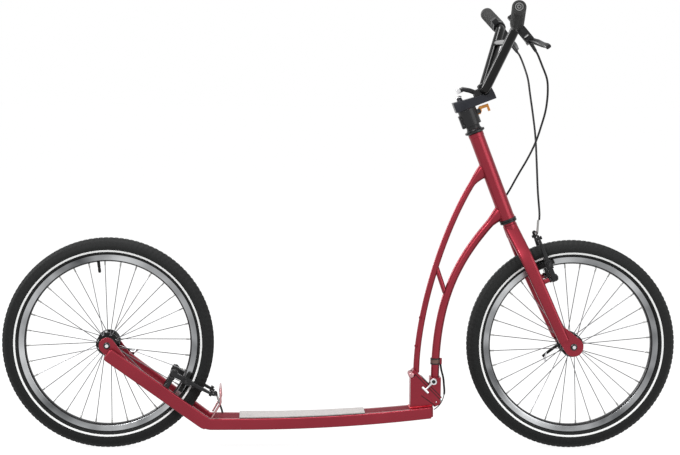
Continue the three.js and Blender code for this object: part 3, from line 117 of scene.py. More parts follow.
# Footboard and rear stays
DECK_BOTTOM = 0.048
RAIL_HEIGHT = 0.027
RAIL_WIDTH = 0.016
RAIL_CORNER = 0.0035
RAIL_ARC_RADIUS = 3.8419
RAIL_ARC_START = -0.230
DECK_REAR_X = -0.3175
DECK_FRONT_X = 0.223
DECK_REAR_HALF = 0.048
DECK_FRONT_HALF = 0.036
DECK_CORNER_RADIUS = 0.014
STAY_BEND_RADIUS = 0.040
STAY_HEIGHT = 0.031
STAY_END_DROP = 0.0175
STAY_END_HALF = 0.0726
STAY_TIP_LENGTH = 0.009
STAY_TIP_SHARES = (0.62, 0.84, 0.96, 1)
STAY_TIP_PLACE_SHARES = (1, 0.5, 0.2)
REAR_DROPOUT_RADIUS = 0.019
REAR_EYE_SHARES = ((1.7, -1.3), (0.6, -1.45))
GUARD_RADIUS = 0.0025
GUARD_HALF = 0.046
GUARD_FOOT_X = -0.305
GUARD_FOOT_HALF = 0.041
GUARD_KNEE = (-0.284, 0.114)
GUARD_TOP = (-0.286, 0.145)
GUARD_BEND = 0.012

# Fold; places are (along, out) from the hinge pin
FOLD_X = 0.169
FOLD_Z = 0.176
FOLD_SLOPE = 45
PIN_RADIUS = 0.004
PIN_HEAD_RADIUS = 0.0065
PIN_HEAD_SHARE = 0.4
GUSSET_HALF = 0.018
BOLT_ALONG = 0.048
BOLT_EYE_HEIGHT = 0.027
BOLT_EYE_RADIUS = 0.008
BOLT_EYE_WIDTH = 0.006
BOLT_ROD_RADIUS = 0.0025
BOLT_ROD_LENGTH = 0.0284
BOLT_ROD_SET = 0.0035
BOLT_NUT_RADIUS = 0.0035
BOLT_NUT_LENGTH = 0.021
LEAF_LOW = 0.0078
LEAF_TOP = 0.0138
LEAF_BLOCK_REAR = 0.205
LEAF_BLOCK_TOP = 0.170
# Dark strips on each side of the fold are painted shadows: one in the gap between gusset and leaf, one along
# the leaf's upper edge, and one as shade under the rib.
SHADOW_STRIP_HALF = 0.0009
SHADOW_STRIP_PROUD = 0.00015
FOLD_GAP_SHADOW_LINE = ((0.004, LEAF_LOW), (0.096, LEAF_LOW))
LEAF_EDGE_SHADOW_LINE = ((0.022, LEAF_TOP), (0.090, LEAF_TOP))
RIB_LINE = ((0.052, -0.0150), (0.0935, -0.0085))
RIB_HALF = 0.0014
RIB_PROUD = 0.0012
# Width of the painted shade strip under the rib, as a share of a shadow strip's half width.
RIB_SHADE_SHARE = 0.8
TOE_CORNERS = ((0.080, 0.0064), (0.0965, 0.0064), (0.0985, -0.004), (0.0945, -0.0150), (0.080, -0.0150))
TOE_EDGE = 0.0022
RIVET_PLACE = (0.0885, -0.0035)
RIVET_RADIUS = 0.0018
RIVET_HEAD_SHARE = 0.7
FOOT_WELD_FROM = 0.167
FOOT_WELD_TO = 0.219
FOOT_WELD_RADIUS = 0.0026
FOOT_WELD_RIPPLES = 40

# Head tube and its cups
HEAD_RADIUS = 0.018
HEAD_LOW = 0.333
HEAD_HIGH = 0.555
HEAD_CHAMFER = 0.0008
HEAD_RING_LENGTH = 0.010
HEAD_RING_TAPER = 0.001
HEAD_RING_PROUD = 0.0006
LOWER_CUP_RADIUS = 0.0205
LOWER_CUP_HEIGHT = 0.0057
LOWER_CUP_BEVELS = (0.0012, 0.0018)
SEAL_BAND = 0.0038
SEAL_BAND_BEVEL = (0.0008, 0.001)
UPPER_CUP_RADIUS = 0.024
UPPER_CUP_HEIGHT = 0.0107
UPPER_CUP_STEP = 0.001
UPPER_CUP_LEVELS = (0.0016, 0.0028, 0.0062, 0.0070, 0.0080)

# Frame tubes; ends are (forward, up), the flare at the head is (rearward, forward, across)
UPPER_TUBE = {
    "radius": 0.0075, "top": (0.332, 0.668), "top_pull": 0.120, "top_slope": 53.1,
    "foot": (0.182, 0.180), "foot_pull": 0.166, "flare": (0.003, 0.013, 0.0025), "run_in": 0.016,
}
LOWER_TUBE = {
    "radius": 0.010, "top": (0.380, 0.569), "top_pull": 0.140, "top_slope": 47,
    "foot": (0.227, 0.1703), "foot_pull": 0.200, "flare": (0.006, 0.009, 0.003), "run_in": 0.012,
}
FLARE_LENGTH = 0.044
WELD_RADIUS = 0.0011
WELD_RIPPLES = 42
BEAD_SWELL_SHARE = 0.18
SEAM_SWELL_SHARE = 0.15
COLLAR_RADIUS = 0.0115
COLLAR_LOW = 0.200
COLLAR_HEIGHT = 0.015
COLLAR_BEVEL = 0.001
COLLAR_LIP = 0.003
CABLE_STOP_RADIUS = 0.0035
CABLE_STOP_X = 0.240
TUBE_BOSS_RADIUS = 0.004
TUBE_BOSS_PROUD = 0.002
TUBE_BOSS_HEIGHTS = (0.309, 0.247)

# Fork
CROWN_RADIUS = 0.017
CROWN_LOW = 0.290
CROWN_HIGH = 0.322
CROWN_BEVEL = 0.001
CROWN_FOOT_SHARES = (0.8, 0.95)
CROWN_FOOT_LEVELS = (0.002, 0.007)
STEERER_RADIUS = 0.0143
STEERER_END_DROP = 0.011
RACE_RADIUS = 0.016
BLADE_DEPTH = 0.030
BLADE_WIDTH = 0.018
BLADE_CORNER_SHARE = 0.36
BLADE_HALF = 0.054
BLADE_FOOT = 0.022
BLADE_RAKE = 3.5
BLADE_CENTRE_SHARE = 0.53
BLADE_FOOT_DEPTH = 0.025
BLADE_TOP_DEPTH = 0.032
BLADE_TOP_SHIFT = 0.001
BLADE_TOP_HALF = 0.006
BLADE_TOP_HEIGHT = 0.311
BLADE_KNEE_HEIGHT = 0.236
BLADE_KNEE_RADIUS = 0.110
FORK_DROPOUT_RADIUS = 0.023
FORK_EYE_SHARES = ((-0.42, 0.3), (0.42, 1))

# Rim brakes
REAR_BRAKE_DROP = 28.5
BRAKE_PIVOT = 0.170
BRAKE_PIVOT_HALF = 0.042
BOSS_RADIUS = 0.006
BOSS_END = 0.0077
FORK_BOSS_BACK = 0.021
REAR_BOSS_BACK = 0.036
ARM_THICKNESS = 0.012
ARM_MIDDLE = BOSS_END + FIT + ARM_THICKNESS / 2
ARM_LENGTH = 0.108
ARM_LEAN = 0.008
ARM_WIDTH = 0.016
ARM_KNEE_SHARE = 1 / 3
ARM_KNEE_LEAN_SHARE = 0.5
ARM_TAPER_SHARE = 0.45
THIN_FROM_SHARE = 0.25
THIN_END_SHARE = 0.42
BOLT_HEAD_RADIUS = 0.0055
BOLT_HEAD_LENGTH = 0.005
SLEEVE_CORNERS = ((0.0056, 0), (0.0078, 0), (0.0078, 0.0022), (0.0068, 0.0032), (0.0056, 0.0032))

# Brake pad mounting; washer corners are (radius, along) from the arm
PAD_STUD_HEIGHT = 0.2035
PAD_WASHERS_LENGTH = 0.0062
PAD_WASHERS = (
    (0.0072, 0), (0.0072, 0.0018), (0.0058, 0.0020), (0.0058, 0.0042),
    (0.0068, 0.0044), (0.0068, 0.0060), (0.0040, PAD_WASHERS_LENGTH),
)
PAD_NUT_RADIUS = 0.0050
PAD_NUT_HEIGHT = 0.0038
STUD_RADIUS = 0.0029
STUD_FROM = 0.0090
STUD_TO = 0.0124
STUD_CHAMFER = 0.0005
HOLDER_HALF = (0.0085, 0.0105)
HOLDER_SUNK = 0.004
HOLDER_PROUD = 0.0008

# Brake springs and cable bolts
SPRING_WIRE = 0.0008
SPRING_COIL = 0.0070
SPRING_TURNS = 3
SPRING_TURN_STEPS = 16
SPRING_BACK = 0.0060
SPRING_LENGTH = 0.0050
SPRING_GAP = 0.001
SPRING_REST = 0.055
SPRING_REST_RISE = 0.004
CABLE_BOLT_DROP = 0.008
CABLE_BOLT_ENDS = (-0.0065, 0.0045)
CABLE_BOLT_RADIUS = 0.0036
CABLE_BOLT_CHAMFER = 0.0008
CABLE_NUT_RADIUS = 0.0046
CABLE_NUT_HEIGHT = 0.0030

# Cable pipes and boots of the brakes
NOODLE_RADIUS = 0.0026
NOODLE_REACH = 0.008
NOODLE_BEND = 0.012
FRONT_NOODLE_START = (0.027, -0.042, 0.312)
REAR_NOODLE_START = (-0.008, -0.035, 0.304)
BOOT_FOLDS = 7
BOOT_PITCH = 0.0034
BOOT_VALLEY_RADIUS = 0.0032
BOOT_RIDGE_RADIUS = 0.0050
BOOT_MOUTH_RADIUS = 0.0026

# Stem
TOP_CAP_X = -0.008
TOP_CAP_TOP = 0.6480
TOP_CAP_RADIUS = 0.0080
TOP_CAP_WALL = 0.0010
TOP_CAP_STEP = 0.0012
TOP_CAP_RISE = 0.0020
CLAMP_LUG_X = -0.0205
CLAMP_LUG_ENDS = (-0.0045, 0.008)
CLAMP_LUG_HEIGHTS = (0.5740, 0.6060)
CLAMP_LUG_HALF = 0.0100
CLAMP_SLOT_HALF = 0.0012
CLAMP_BOLT_SHARES = (0.25, 0.75)
CLAMP_SHANK_RADIUS = 0.0024
CLAMP_HEAD_RADIUS = 0.0026
CLAMP_HEAD_LENGTH = 0.0030
CLAMP_NUT_RADIUS = 0.0042
CATCH_ROOT = ((0.3185, 0.8060), (0.3205, 0.7975), (0.3270, 0.7990), (0.3300, 0.8085))
CATCH_ROOT_HALF = 0.0046
# Outline of a steel tip on the stem's release lever: it stands for the lever's silver end and is partly a
# painted highlight on the lever.
RELEASE_STEEL_TIP_AND_HIGHLIGHT = ((0.2663, 0.8556), (0.2745, 0.8592), (0.2790, 0.8507), (0.2710, 0.8452))
RELEASE_STEEL_TIP_AND_HIGHLIGHT_HALF = 0.0087

# Handlebar, grips and brake levers; the grip's end corners are (radius, along) and (inward, along)
BAR_FORWARD = 0.054
BAR_HEIGHT = 0.6430
BAR_RADIUS = 0.0111
BAR_SADDLE_HALF = 0.024
BAR_SADDLE_BEND = 0.016
BAR_CORNER_X = 0.160
BAR_CORNER_HALF = 0.140
BAR_CORNER_RISE = 0.1174
BAR_END_HALF = 0.287
BAR_GRIP_RISE = 16.1
BAR_BEND = 0.025
CROSSBAR_RADIUS = 0.008
CROSSBAR_SHARE = 0.76
GRIP_RADIUS = 0.0163
GRIP_LENGTH = 0.131
GRIP_END_WALL = 0.003
GRIP_FACE = (
    (0, 0.0008), (0.0022, 0.0008), (0.0026, 0), (0.0050, 0), (0.0054, 0.0016), (0.0068, 0.0016),
    (0.0072, 0), (0.0096, 0), (0.0100, 0.0016), (0.0114, 0.0016), (0.0118, 0),
)
GRIP_RIM = ((0.002, 0.0002), (0.0006, 0.0012), (0, 0.003), (0, 0.007))
GRIP_RING_FACES = (2, 6)
GRIP_RIBS = 34
GRIP_RIB_DEPTH = 0.0007
GRIP_RIB_SHARES = (0.35, 0.5, 0.85)
GRIP_RIBS_FROM = 0.010
GRIP_RIBS_END = 0.012
GRIP_LIP = 0.002
GRIP_LIP_DROP = 0.0015
LEVER_PIVOT = (0.41419, 0.1677, 0.9743)
LEVER_AXIS = (0.79401, 0.07838, 0.60283)
LEVER_BOSS_RADIUS = 0.0078
LEVER_BOSS_HALF = 0.0085
BLADE_LIFT = 0.012
BLADE_LIFT_START = 0.172
BLADE_LIFT_RUN = 0.018

# Camera, solved on the photograph's frame
CAMERA_PLACE = (-0.2241, -4.5161, 0.9017)
CAMERA_YAW = 2.7874
CAMERA_PITCH = 4.7385
CAMERA_ROLL = -0.5786
CAMERA_LENS = 101.1223
CAMERA_NEAR = 0.05
CAMERA_FAR = 200
SENSOR_WIDTH = 36

# Floor, background and lamps; a lamp has a place, a target, a width, a power and a height
FLOOR_REACH = 40
FLOOR_TONE = 0.86
FLOOR_ROUGHNESS = 0.9
FLOOR_GLOW = 0.9
SHADOW_SHARE = 0.16
SURROUND_GLOW = (0.7, 1.0)
LAMPS = {
    "key": ((-2.2, -3.6, 3.4), (0.0, 0.0, 0.4), 1.0, 125, None),
    "fill": ((2.8, -2.8, 1.8), (0.2, 0.0, 0.5), 2.8, 60, None),
    "top": ((0.0, 0.3, 4.2), (0.0, 0.0, 0.4), 1.2, 80, None),
    "left_strip": ((-3.2, 2.6, 2.4), (0.2, 0.0, 0.6), 0.8, 120, 3.4),
}

# Mesh fineness
WHEEL_SEGMENTS = 504
HUB_SIDES = 72
HEAD_SIDES = 64
GRIP_SIDES = 48
ROUND_SIDES = 32
BOLT_SIDES = 24
WIRE_SIDES = 12
SPOKE_SIDES = 8
TUBE_STEPS = 72
EYE_STEPS = 40
SMOOTH_BELOW = 34
FLAT_BELOW = 1
SAME_POINT = 0.00001
NEARLY_ACROSS = 0.9
HEXAGON_CHAMFER_SHARE = 1 / 12
SMALL_CHAMFER = 0.0006
EDGE_WIDTH = 0.0007
FITTING_EDGE = 0.0004
CASTING_EDGE = 0.0008
BLOCK_EDGE = 0.0010
FORGED_EDGE = 0.0012
LEVER_EDGE = 0.0014

# Cables
CABLE_RADIUS = 0.0025
BARE_CABLE_SHARE = 0.45
FOLD_SHEATH_SHARE = 0.58
FRONT_BRAKE_ROUTE = [
    (0.4331, 0.15075, 0.9472), (0.4373, 0.1481, 0.9413), (0.4415, 0.1415, 0.931), (0.447, 0.126, 0.912),
    (0.453, 0.100, 0.882), (0.455, 0.075, 0.847), (0.459, 0.045, 0.794), (0.461, 0.015, 0.745),
    (0.462, -0.005, 0.687), (0.464, -0.020, 0.616), (0.467, -0.031, 0.566), (0.4655, -0.040, 0.552),
]
REAR_BRAKE_ROUTE = [
    (0.4331, -0.15075, 0.9472), (0.4373, -0.1481, 0.9413), (0.443, -0.144, 0.930), (0.4503, -0.138, 0.9146),
    (0.4645, -0.122, 0.8844), (0.4705, -0.100, 0.8568), (0.472, -0.080, 0.828), (0.471, -0.062, 0.804),
    (0.4664, -0.042, 0.7757), (0.4575, -0.018, 0.736), (0.4432, 0.004, 0.697), (0.4208, 0.020, 0.6527),
    (0.3982, 0.027, 0.6095), (0.376, 0.027, 0.578), (0.357, 0.020, 0.553), (0.340, 0.0132, 0.531),
]
REAR_BRAKE_BEND_START = REAR_BRAKE_ROUTE[4]
FOLD_LOOP_ROUTE = [
    (0.240, 0, 0.1996), (0.2425, 0, 0.185), (0.247, 0, 0.168), (0.249, 0, 0.151), (0.250, 0, 0.128),
    (0.243, 0, 0.107), (0.233, 0, 0.095), (0.226, 0, 0.090),
]
REAR_STUB_ROUTE = [
    (-0.281, 0.033, 0.0757), (-0.283, 0.0342, 0.083), (-0.2854, 0.0349, 0.090), (-0.288, 0.035, 0.0975),
]

# Directions and frames
SIDES = (("right", -1), ("left", 1))
REAR_AXLE = Vector((-WHEELBASE / 2, 0, WHEEL_RADIUS))
FRONT_AXLE = Vector((WHEELBASE / 2, 0, WHEEL_RADIUS))
AXLES = {"rear": (REAR_AXLE, REAR_CAM_LENGTH), "front": (FRONT_AXLE, FRONT_CAM_LENGTH)}
FORWARD = Vector((1, 0, 0))
ACROSS = Vector((0, 1, 0))
UP = Vector((0, 0, 1))
FIRST_UP = Vector((0.31, 0.9, 0.28))


def frame_of(x_axis, y_axis, z_axis, origin):
    """Matrix of a frame from its axes and origin."""
    rotation = Matrix((x_axis, y_axis, z_axis)).transposed()
    return Matrix.Translation(origin) @ rotation.to_4x4()


RAKE = math.radians(90 - HEAD_ANGLE)
AHEAD = Vector((math.cos(RAKE), 0, math.sin(RAKE)))
UPWARD = Vector((-math.sin(RAKE), 0, math.cos(RAKE)))
STEERING = frame_of(AHEAD, ACROSS, UPWARD, FRONT_AXLE - FORK_OFFSET * AHEAD)
FOLD_TURN = math.radians(FOLD_SLOPE)
FOLD_ALONG = Vector((math.cos(FOLD_TURN), 0, -math.sin(FOLD_TURN)))
FOLD_OUT = Vector((math.sin(FOLD_TURN), 0, math.cos(FOLD_TURN)))
FOLD = frame_of(FOLD_ALONG, ACROSS, FOLD_OUT, Vector((FOLD_X, 0, FOLD_Z)))
DROP = math.radians(REAR_BRAKE_DROP)
REAR_BRAKE_OUT = Vector((math.sin(DROP), 0, math.cos(DROP)))
REAR_BRAKE_UP = Vector((math.cos(DROP), 0, -math.sin(DROP)))
REAR_BRAKE = frame_of(REAR_BRAKE_OUT, -ACROSS, REAR_BRAKE_UP, REAR_AXLE)
FRONT_BRAKE = STEERING @ Matrix.Translation((FORK_OFFSET, 0, 0))

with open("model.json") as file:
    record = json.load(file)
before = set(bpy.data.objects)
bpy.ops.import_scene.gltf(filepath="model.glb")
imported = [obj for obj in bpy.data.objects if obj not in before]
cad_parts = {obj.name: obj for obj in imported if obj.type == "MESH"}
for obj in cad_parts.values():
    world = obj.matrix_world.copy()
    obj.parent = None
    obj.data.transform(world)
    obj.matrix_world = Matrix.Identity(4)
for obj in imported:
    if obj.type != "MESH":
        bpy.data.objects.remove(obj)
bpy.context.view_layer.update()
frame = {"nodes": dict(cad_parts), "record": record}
BODY_OF = {node: body for body, members in frame["record"]["behaviour"]["bodies"].items() for node in members}
SLOT_OF = {row["node"]: row["material_slot"] for row in frame["record"]["subparts"]}


# Materials

COAT_ROUGHNESS = 0.06
NOISE_LOW = 0.3
NOISE_HIGH = 0.7
TONE_DETAIL = 3.0
GRAIN_DETAIL = 4.0
GRAIN_DEPTH = 0.0002
GRIT_SCALE = 520
GRIT_RANGE = (0.1, 0.75)
GRIT_EDGE = (0.47, 0.44, 0.43)
GRIT_TOP = (0.30, 0.285, 0.28)
GRIT_ROUGHNESS = 0.9
GRIT_BUMP = (0.8, 0.0006)


def new_material(name):
    material = bpy.data.materials.new(name)
    material.use_nodes = True
    return material, material.node_tree, material.node_tree.nodes["Principled BSDF"]


def set_inputs(tree, node, inputs):
    """Gives each named input of a node its value, or the output that feeds it."""
    for name, value in inputs.items():
        if isinstance(value, bpy.types.NodeSocket):
            tree.links.new(value, node.inputs[name])
        else:
            node.inputs[name].default_value = value


def add_node(tree, kind, inputs):
    node = tree.nodes.new(f"ShaderNode{kind}")
    set_inputs(tree, node, inputs)
    return node


def object_place(tree):
    return add_node(tree, "TexCoord", {}).outputs["Object"]


def noise(tree, vector, scale, detail):
    return add_node(tree, "TexNoise", {"Scale": scale, "Detail": detail, "Vector": vector}).outputs["Fac"]


def spread(tree, value, low, high, from_low=NOISE_LOW, from_high=NOISE_HIGH):
    """A value from from_low to from_high, spread over low to high."""
    limits = {"From Min": from_low, "From Max": from_high, "To Min": low, "To Max": high}
    return add_node(tree, "MapRange", {**limits, "Value": value}).outputs["Result"]


def blend_colours(tree, share, first, second):
    mix = tree.nodes.new("ShaderNodeMix")
    mix.data_type = "RGBA"
    set_inputs(tree, mix, {"A": (*first, 1), "B": (*second, 1), "Factor": share})
    return mix.outputs["Result"]


def bumps(tree, height, strength, distance):
    bump = add_node(tree, "Bump", {"Strength": strength, "Distance": distance, "Height": height})
    return bump.outputs["Normal"]


def varied(name, dark, light, roughness, metallic=0.0, coat=0.0, tone_scale=60, grain_scale=900, grain=0.1,
           specular=0.5):
    """A finish whose tone, gloss and surface vary a little; dark, light and roughness give its range."""
    material, tree, shader = new_material(name)
    vector = object_place(tree)
    tone = noise(tree, vector, tone_scale, TONE_DETAIL)
    set_inputs(tree, shader, {
        "Base Color": blend_colours(tree, spread(tree, tone, 0, 1), dark, light),
        "Roughness": spread(tree, tone, *roughness),
        "Metallic": metallic,
        "Coat Weight": coat,
        "Specular IOR Level": specular,
        "Coat Roughness": COAT_ROUGHNESS,
        "Normal": bumps(tree, noise(tree, vector, grain_scale, GRAIN_DETAIL), grain, GRAIN_DEPTH),
    })
    return material


def grey(tone):
    return (tone, tone, tone)


def make_grit(name):
    """Light anti-slip sheet with coarse grains."""
    material, tree, shader = new_material(name)
    cells = add_node(tree, "TexVoronoi", {"Scale": GRIT_SCALE, "Vector": object_place(tree)})
    distance = cells.outputs["Distance"]
    set_inputs(tree, shader, {
        "Base Color": blend_colours(tree, spread(tree, distance, 0, 1, *GRIT_RANGE), GRIT_EDGE, GRIT_TOP),
        "Roughness": GRIT_ROUGHNESS,
        "Normal": bumps(tree, distance, *GRIT_BUMP),
    })
    return material


PAINT = varied("frame_paint", (0.215, 0.016, 0.028), (0.245, 0.020, 0.033), (0.34, 0.40),
               metallic=0.80, coat=0.16, tone_scale=9, grain_scale=2600, grain=0.04, specular=0.3)
WELD = varied("weld_paint", (0.20, 0.012, 0.022), (0.25, 0.017, 0.030), (0.3, 0.42),
              metallic=0.75, coat=0.1, tone_scale=30, grain_scale=500, grain=0.5, specular=0.3)
# Brighter red than the frame: a painted glow of red light bounced between the gusset and the deck, used on
# the weld at the gusset's foot.
FILLET_PAINTED_GLOW = varied("fillet_painted_glow", (0.36, 0.004, 0.014), (0.42, 0.006, 0.018), (0.34, 0.44),
                metallic=0.2, coat=0.1, tone_scale=30, grain_scale=500, grain=0.4, specular=0.2)
# Darker, duller red than the frame: painted shade of the pan's recess between the rails.
PAN_PAINTED_SHADE = varied("pan_painted_shade", (0.10, 0.007, 0.013), (0.13, 0.009, 0.017), (0.60, 0.72),
                   tone_scale=20, grain_scale=1400, grain=0.15, specular=0.1)
# Pale pink metal: on the heel guard's wire its pink is a painted reflection of the red frame, on the hinge
# pin's heads a painted highlight.
PINK_PAINTED_SHEEN = varied("pink_painted_sheen", (0.40, 0.19, 0.20), (0.48, 0.25, 0.26), (0.2, 0.3),
               metallic=0.85, coat=0.2, tone_scale=30, grain_scale=1800, grain=0.05)
GLOSS_BLACK = varied("gloss_black", grey(0.002), grey(0.004), (0.09, 0.14),
                     grain_scale=1200, grain=0.04, specular=0.20)
SATIN_BLACK = varied("satin_black", (0.005, 0.005, 0.006), (0.010, 0.010, 0.011), (0.28, 0.38),
                     tone_scale=50, grain_scale=1500, grain=0.15, specular=0.30)
NAVY_BLACK = varied("cast_black", (0.006, 0.007, 0.012), (0.010, 0.011, 0.017), (0.30, 0.40),
                    tone_scale=50, grain_scale=1300, grain=0.2, specular=0.32)
RUBBER = varied("soft_rubber", grey(0.008), grey(0.014), (0.6, 0.8), grain=0.4, specular=0.2)
GRIP_RUBBER = varied("grip_rubber", grey(0.016), grey(0.026), (0.5, 0.68),
                     grain_scale=1400, grain=0.3, specular=0.3)
GRIP_RING = varied("grip_ring", grey(0.13), grey(0.19), (0.35, 0.5),
                   grain_scale=1400, grain=0.2, specular=0.4)
SHEATH = varied("cable_sheath", (0.004, 0.004, 0.005), (0.008, 0.008, 0.009), (0.28, 0.38),
                tone_scale=80, specular=0.25)
STEEL = varied("polished_steel", (0.58, 0.58, 0.59), (0.74, 0.74, 0.75), (0.12, 0.22),
               metallic=1.0, tone_scale=120, grain_scale=1800, grain=0.08)
DARK_STEEL = varied("dark_steel", (0.030, 0.030, 0.031), (0.060, 0.060, 0.061), (0.25, 0.35),
                    metallic=1.0, tone_scale=120, grain_scale=1800)
WIRE = varied("spoke_wire", (0.10, 0.10, 0.105), (0.19, 0.19, 0.195), (0.22, 0.34),
              metallic=1.0, grain_scale=1500, grain=0.06)
DULL_METAL = varied("nipple_metal", grey(0.24), (0.36, 0.36, 0.35), (0.3, 0.4), metallic=1.0, tone_scale=100)
# Brushed alloy whose tone swings from near black to bright in large patches around the rim: painted
# reflections.
ALLOY_WITH_PAINTED_REFLECTIONS = varied("rim_alloy_painted_reflections", (0.075, 0.078, 0.082), (0.54, 0.55, 0.56), (0.20, 0.30),
               metallic=1.0, tone_scale=7, grain_scale=700, grain=0.12)
RIM_BLACK = varied("rim_black", (0.004, 0.004, 0.005), (0.008, 0.008, 0.009), (0.3, 0.4),
                   tone_scale=80, specular=0.3)
TYRE = varied("tyre_rubber", grey(0.003), (0.017, 0.018, 0.018), (0.55, 0.75),
              tone_scale=420, grain=0.5, specular=0.17)
STRIPE = varied("reflective_stripe", (0.90, 0.91, 0.90), (0.96, 0.97, 0.96), (0.34, 0.45),
                grain_scale=1600, grain=0.05)
ORANGE = varied("orange_lever", (0.46, 0.17, 0.012), (0.56, 0.23, 0.02), (0.2, 0.3),
                metallic=0.55, coat=0.5, grain_scale=1500, grain=0.06)
BRONZE = varied("collar_band", (0.10, 0.055, 0.045), (0.17, 0.10, 0.085), (0.35, 0.5),
                metallic=0.7, grain_scale=1200, grain=0.2)
GRIT = make_grit("grip_pad_grit")


# Shapes

class Shape:
    """Faces gathered for one piece, each with the number of its material."""

    def __init__(self):
        self.vertices = []
        self.faces = []
        self.finishes = []

    def add(self, form, finish=0, matrix=None):
        vertices, faces = form[0], form[1]
        finishes = form[2] if len(form) > 2 else [finish] * len(faces)
        start = len(self.vertices)
        self.vertices.extend((matrix @ v if matrix else v) for v in vertices)
        self.faces.extend([start + corner for corner in face] for face in faces)
        self.finishes.extend(finishes)
        return self

    def make(self, name, body, materials, slot, replaces=(), edge=0.0):
        """One piece of a body."""
        mesh = new_mesh(name, self.vertices, self.faces, materials)
        for polygon, finish in zip(mesh.polygons, self.finishes):
            polygon.material_index = finish
        return place_mesh(mesh, name, body, replaces, edge)

    def stand_for(self, node, suffix, materials):
        """One piece in the place of a solid, with its body."""
        return self.make(f"{node}_{suffix}", BODY_OF[node], materials, SLOT_OF[node], [node])


def new_mesh(name, vertices, faces, materials):
    mesh = bpy.data.meshes.new(name)
    mesh.from_pydata([tuple(v) for v in vertices], [], faces)
    for material in materials:
        mesh.materials.append(material)
    return mesh


def add_object(name, data):
    made = bpy.data.objects.new(name, data)
    bpy.context.scene.collection.objects.link(made)
    return made


def place_mesh(mesh, name, body, replaces, edge):
    """Cleans a mesh, smooths it and lets it ride on a body."""
    cleaned = bmesh.new()
    cleaned.from_mesh(mesh)
    bmesh.ops.remove_doubles(cleaned, verts=cleaned.verts, dist=SAME_POINT)
    bmesh.ops.recalc_face_normals(cleaned, faces=cleaned.faces)
    cleaned.to_mesh(mesh)
    cleaned.free()
    mesh.shade_smooth()
    mesh.set_sharp_from_angle(angle=math.radians(SMOOTH_BELOW))
    piece = add_object(name, mesh)
    if edge:
        bevel = piece.modifiers.new("edges", "BEVEL")
        bevel.width = edge
        bevel.segments = 2
        bevel.limit_method = "ANGLE"
        bevel.angle_limit = math.radians(SMOOTH_BELOW)
        bevel.harden_normals = False
    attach(piece, body)
    if replaces:
        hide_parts(*replaces)
    return piece


def refined(node, materials, edge=EDGE_WIDTH, choose=None, reshape=None):
    """A finished copy of a solid: merged flat faces, rounded edges and its own material."""
    mesh = frame["nodes"][node].data.copy()
    merged = bmesh.new()
    merged.from_mesh(mesh)
    bmesh.ops.remove_doubles(merged, verts=merged.verts, dist=SAME_POINT)
    bmesh.ops.dissolve_limit(
        merged, angle_limit=math.radians(FLAT_BELOW), verts=merged.verts, edges=merged.edges
    )
    if reshape:
        for vertex in merged.verts:
            vertex.co = reshape(vertex.co)
    merged.to_mesh(mesh)
    merged.free()
    mesh.materials.clear()
    for material in materials:
        mesh.materials.append(material)
    for polygon in mesh.polygons:
        polygon.material_index = choose(polygon) if choose else 0
    return place_mesh(mesh, f"{node}_finished", BODY_OF[node], [node], edge)


def clamped(share):
    return min(1.0, max(0.0, share))


def circle(radius, sides):
    angles = [2 * math.pi * side / sides for side in range(sides)]
    return [(radius * math.cos(angle), radius * math.sin(angle)) for angle in angles]


def rounded_rectangle(width, height, corner, steps=4):
    outline = []
    for quarter, (sx, sy) in enumerate(((1, 1), (-1, 1), (-1, -1), (1, -1))):
        for step in range(steps + 1):
            angle = math.radians(90 * (quarter + step / steps))
            outline.append((
                sx * (width / 2 - corner) + corner * math.cos(angle),
                sy * (height / 2 - corner) + corner * math.sin(angle),
            ))
    return outline


def rectangle(left, right, low, high):
    return [(left, low), (right, low), (right, high), (left, high)]


def close_rings(rings):
    """Faces between rings of points, with a cap at each end."""
    count = len(rings[0])
    faces = []
    for ring in range(len(rings) - 1):
        for side in range(count):
            here = ring * count + side
            beside = ring * count + (side + 1) % count
            faces.append((here, beside, beside + count, here + count))
    faces.append(tuple(range(count - 1, -1, -1)))
    faces.append(tuple((len(rings) - 1) * count + side for side in range(count)))
    return [point for ring in rings for point in ring], faces


def wrap_rings(rings, count):
    """Faces between closed rings of points that come back to the first ring."""
    faces = []
    for ring in range(rings):
        here, there = ring * count, (ring + 1) % rings * count
        for side in range(count):
            beyond = (side + 1) % count
            faces.append((here + side, here + beyond, there + beyond, there + side))
    return faces


def tangents_of(path):
    result = []
    for i in range(len(path)):
        before, after = path[max(i - 1, 0)], path[min(i + 1, len(path) - 1)]
        result.append((after - before).normalized())
    return result


def sweep(path, section, reference=None):
    """Section carried along a path: an outline, or a function that gives one for a place from 0 to 1."""
    tangents = tangents_of(path)
    up = reference or FIRST_UP
    up = (up - up.dot(tangents[0]) * tangents[0]).normalized()
    rings = []
    for i, (point, tangent) in enumerate(zip(path, tangents)):
        base = reference if reference else up
        up = (base - base.dot(tangent) * tangent).normalized()
        side = tangent.cross(up)
        outline = section(i / (len(path) - 1)) if callable(section) else section
        rings.append([point + a * side + b * up for a, b in outline])
    return close_rings(rings)


def lathe(profile, segments, cut=None):
    """Profile of (radius, along) corners turned about Y; cut gives a depth for an angle and a place along."""
    vertices = []
    for segment in range(segments):
        angle = 2 * math.pi * segment / segments
        for radius, along in profile:
            reach = radius - cut(angle, along) if cut else radius
            vertices.append(Vector((reach * math.sin(angle), along, reach * math.cos(angle))))
    return vertices, wrap_rings(segments, len(profile))


def second_finish(form, count, corners):
    """A turned form of which the faces that start at some profile corners take the second material."""
    vertices, faces = form
    return vertices, faces, [int(index % count in corners) for index in range(len(faces))]


def mirrored(half):
    """A profile and its mirror image, which meet in its last corner."""
    return half + [(radius, -along) for radius, along in reversed(half[:-1])]


def scaled_profile(shares, radius, length):
    """Closed profile from shares of a radius and a length."""
    return [(0, 0), *((radius * out, length * along) for out, along in shares), (0, length)]


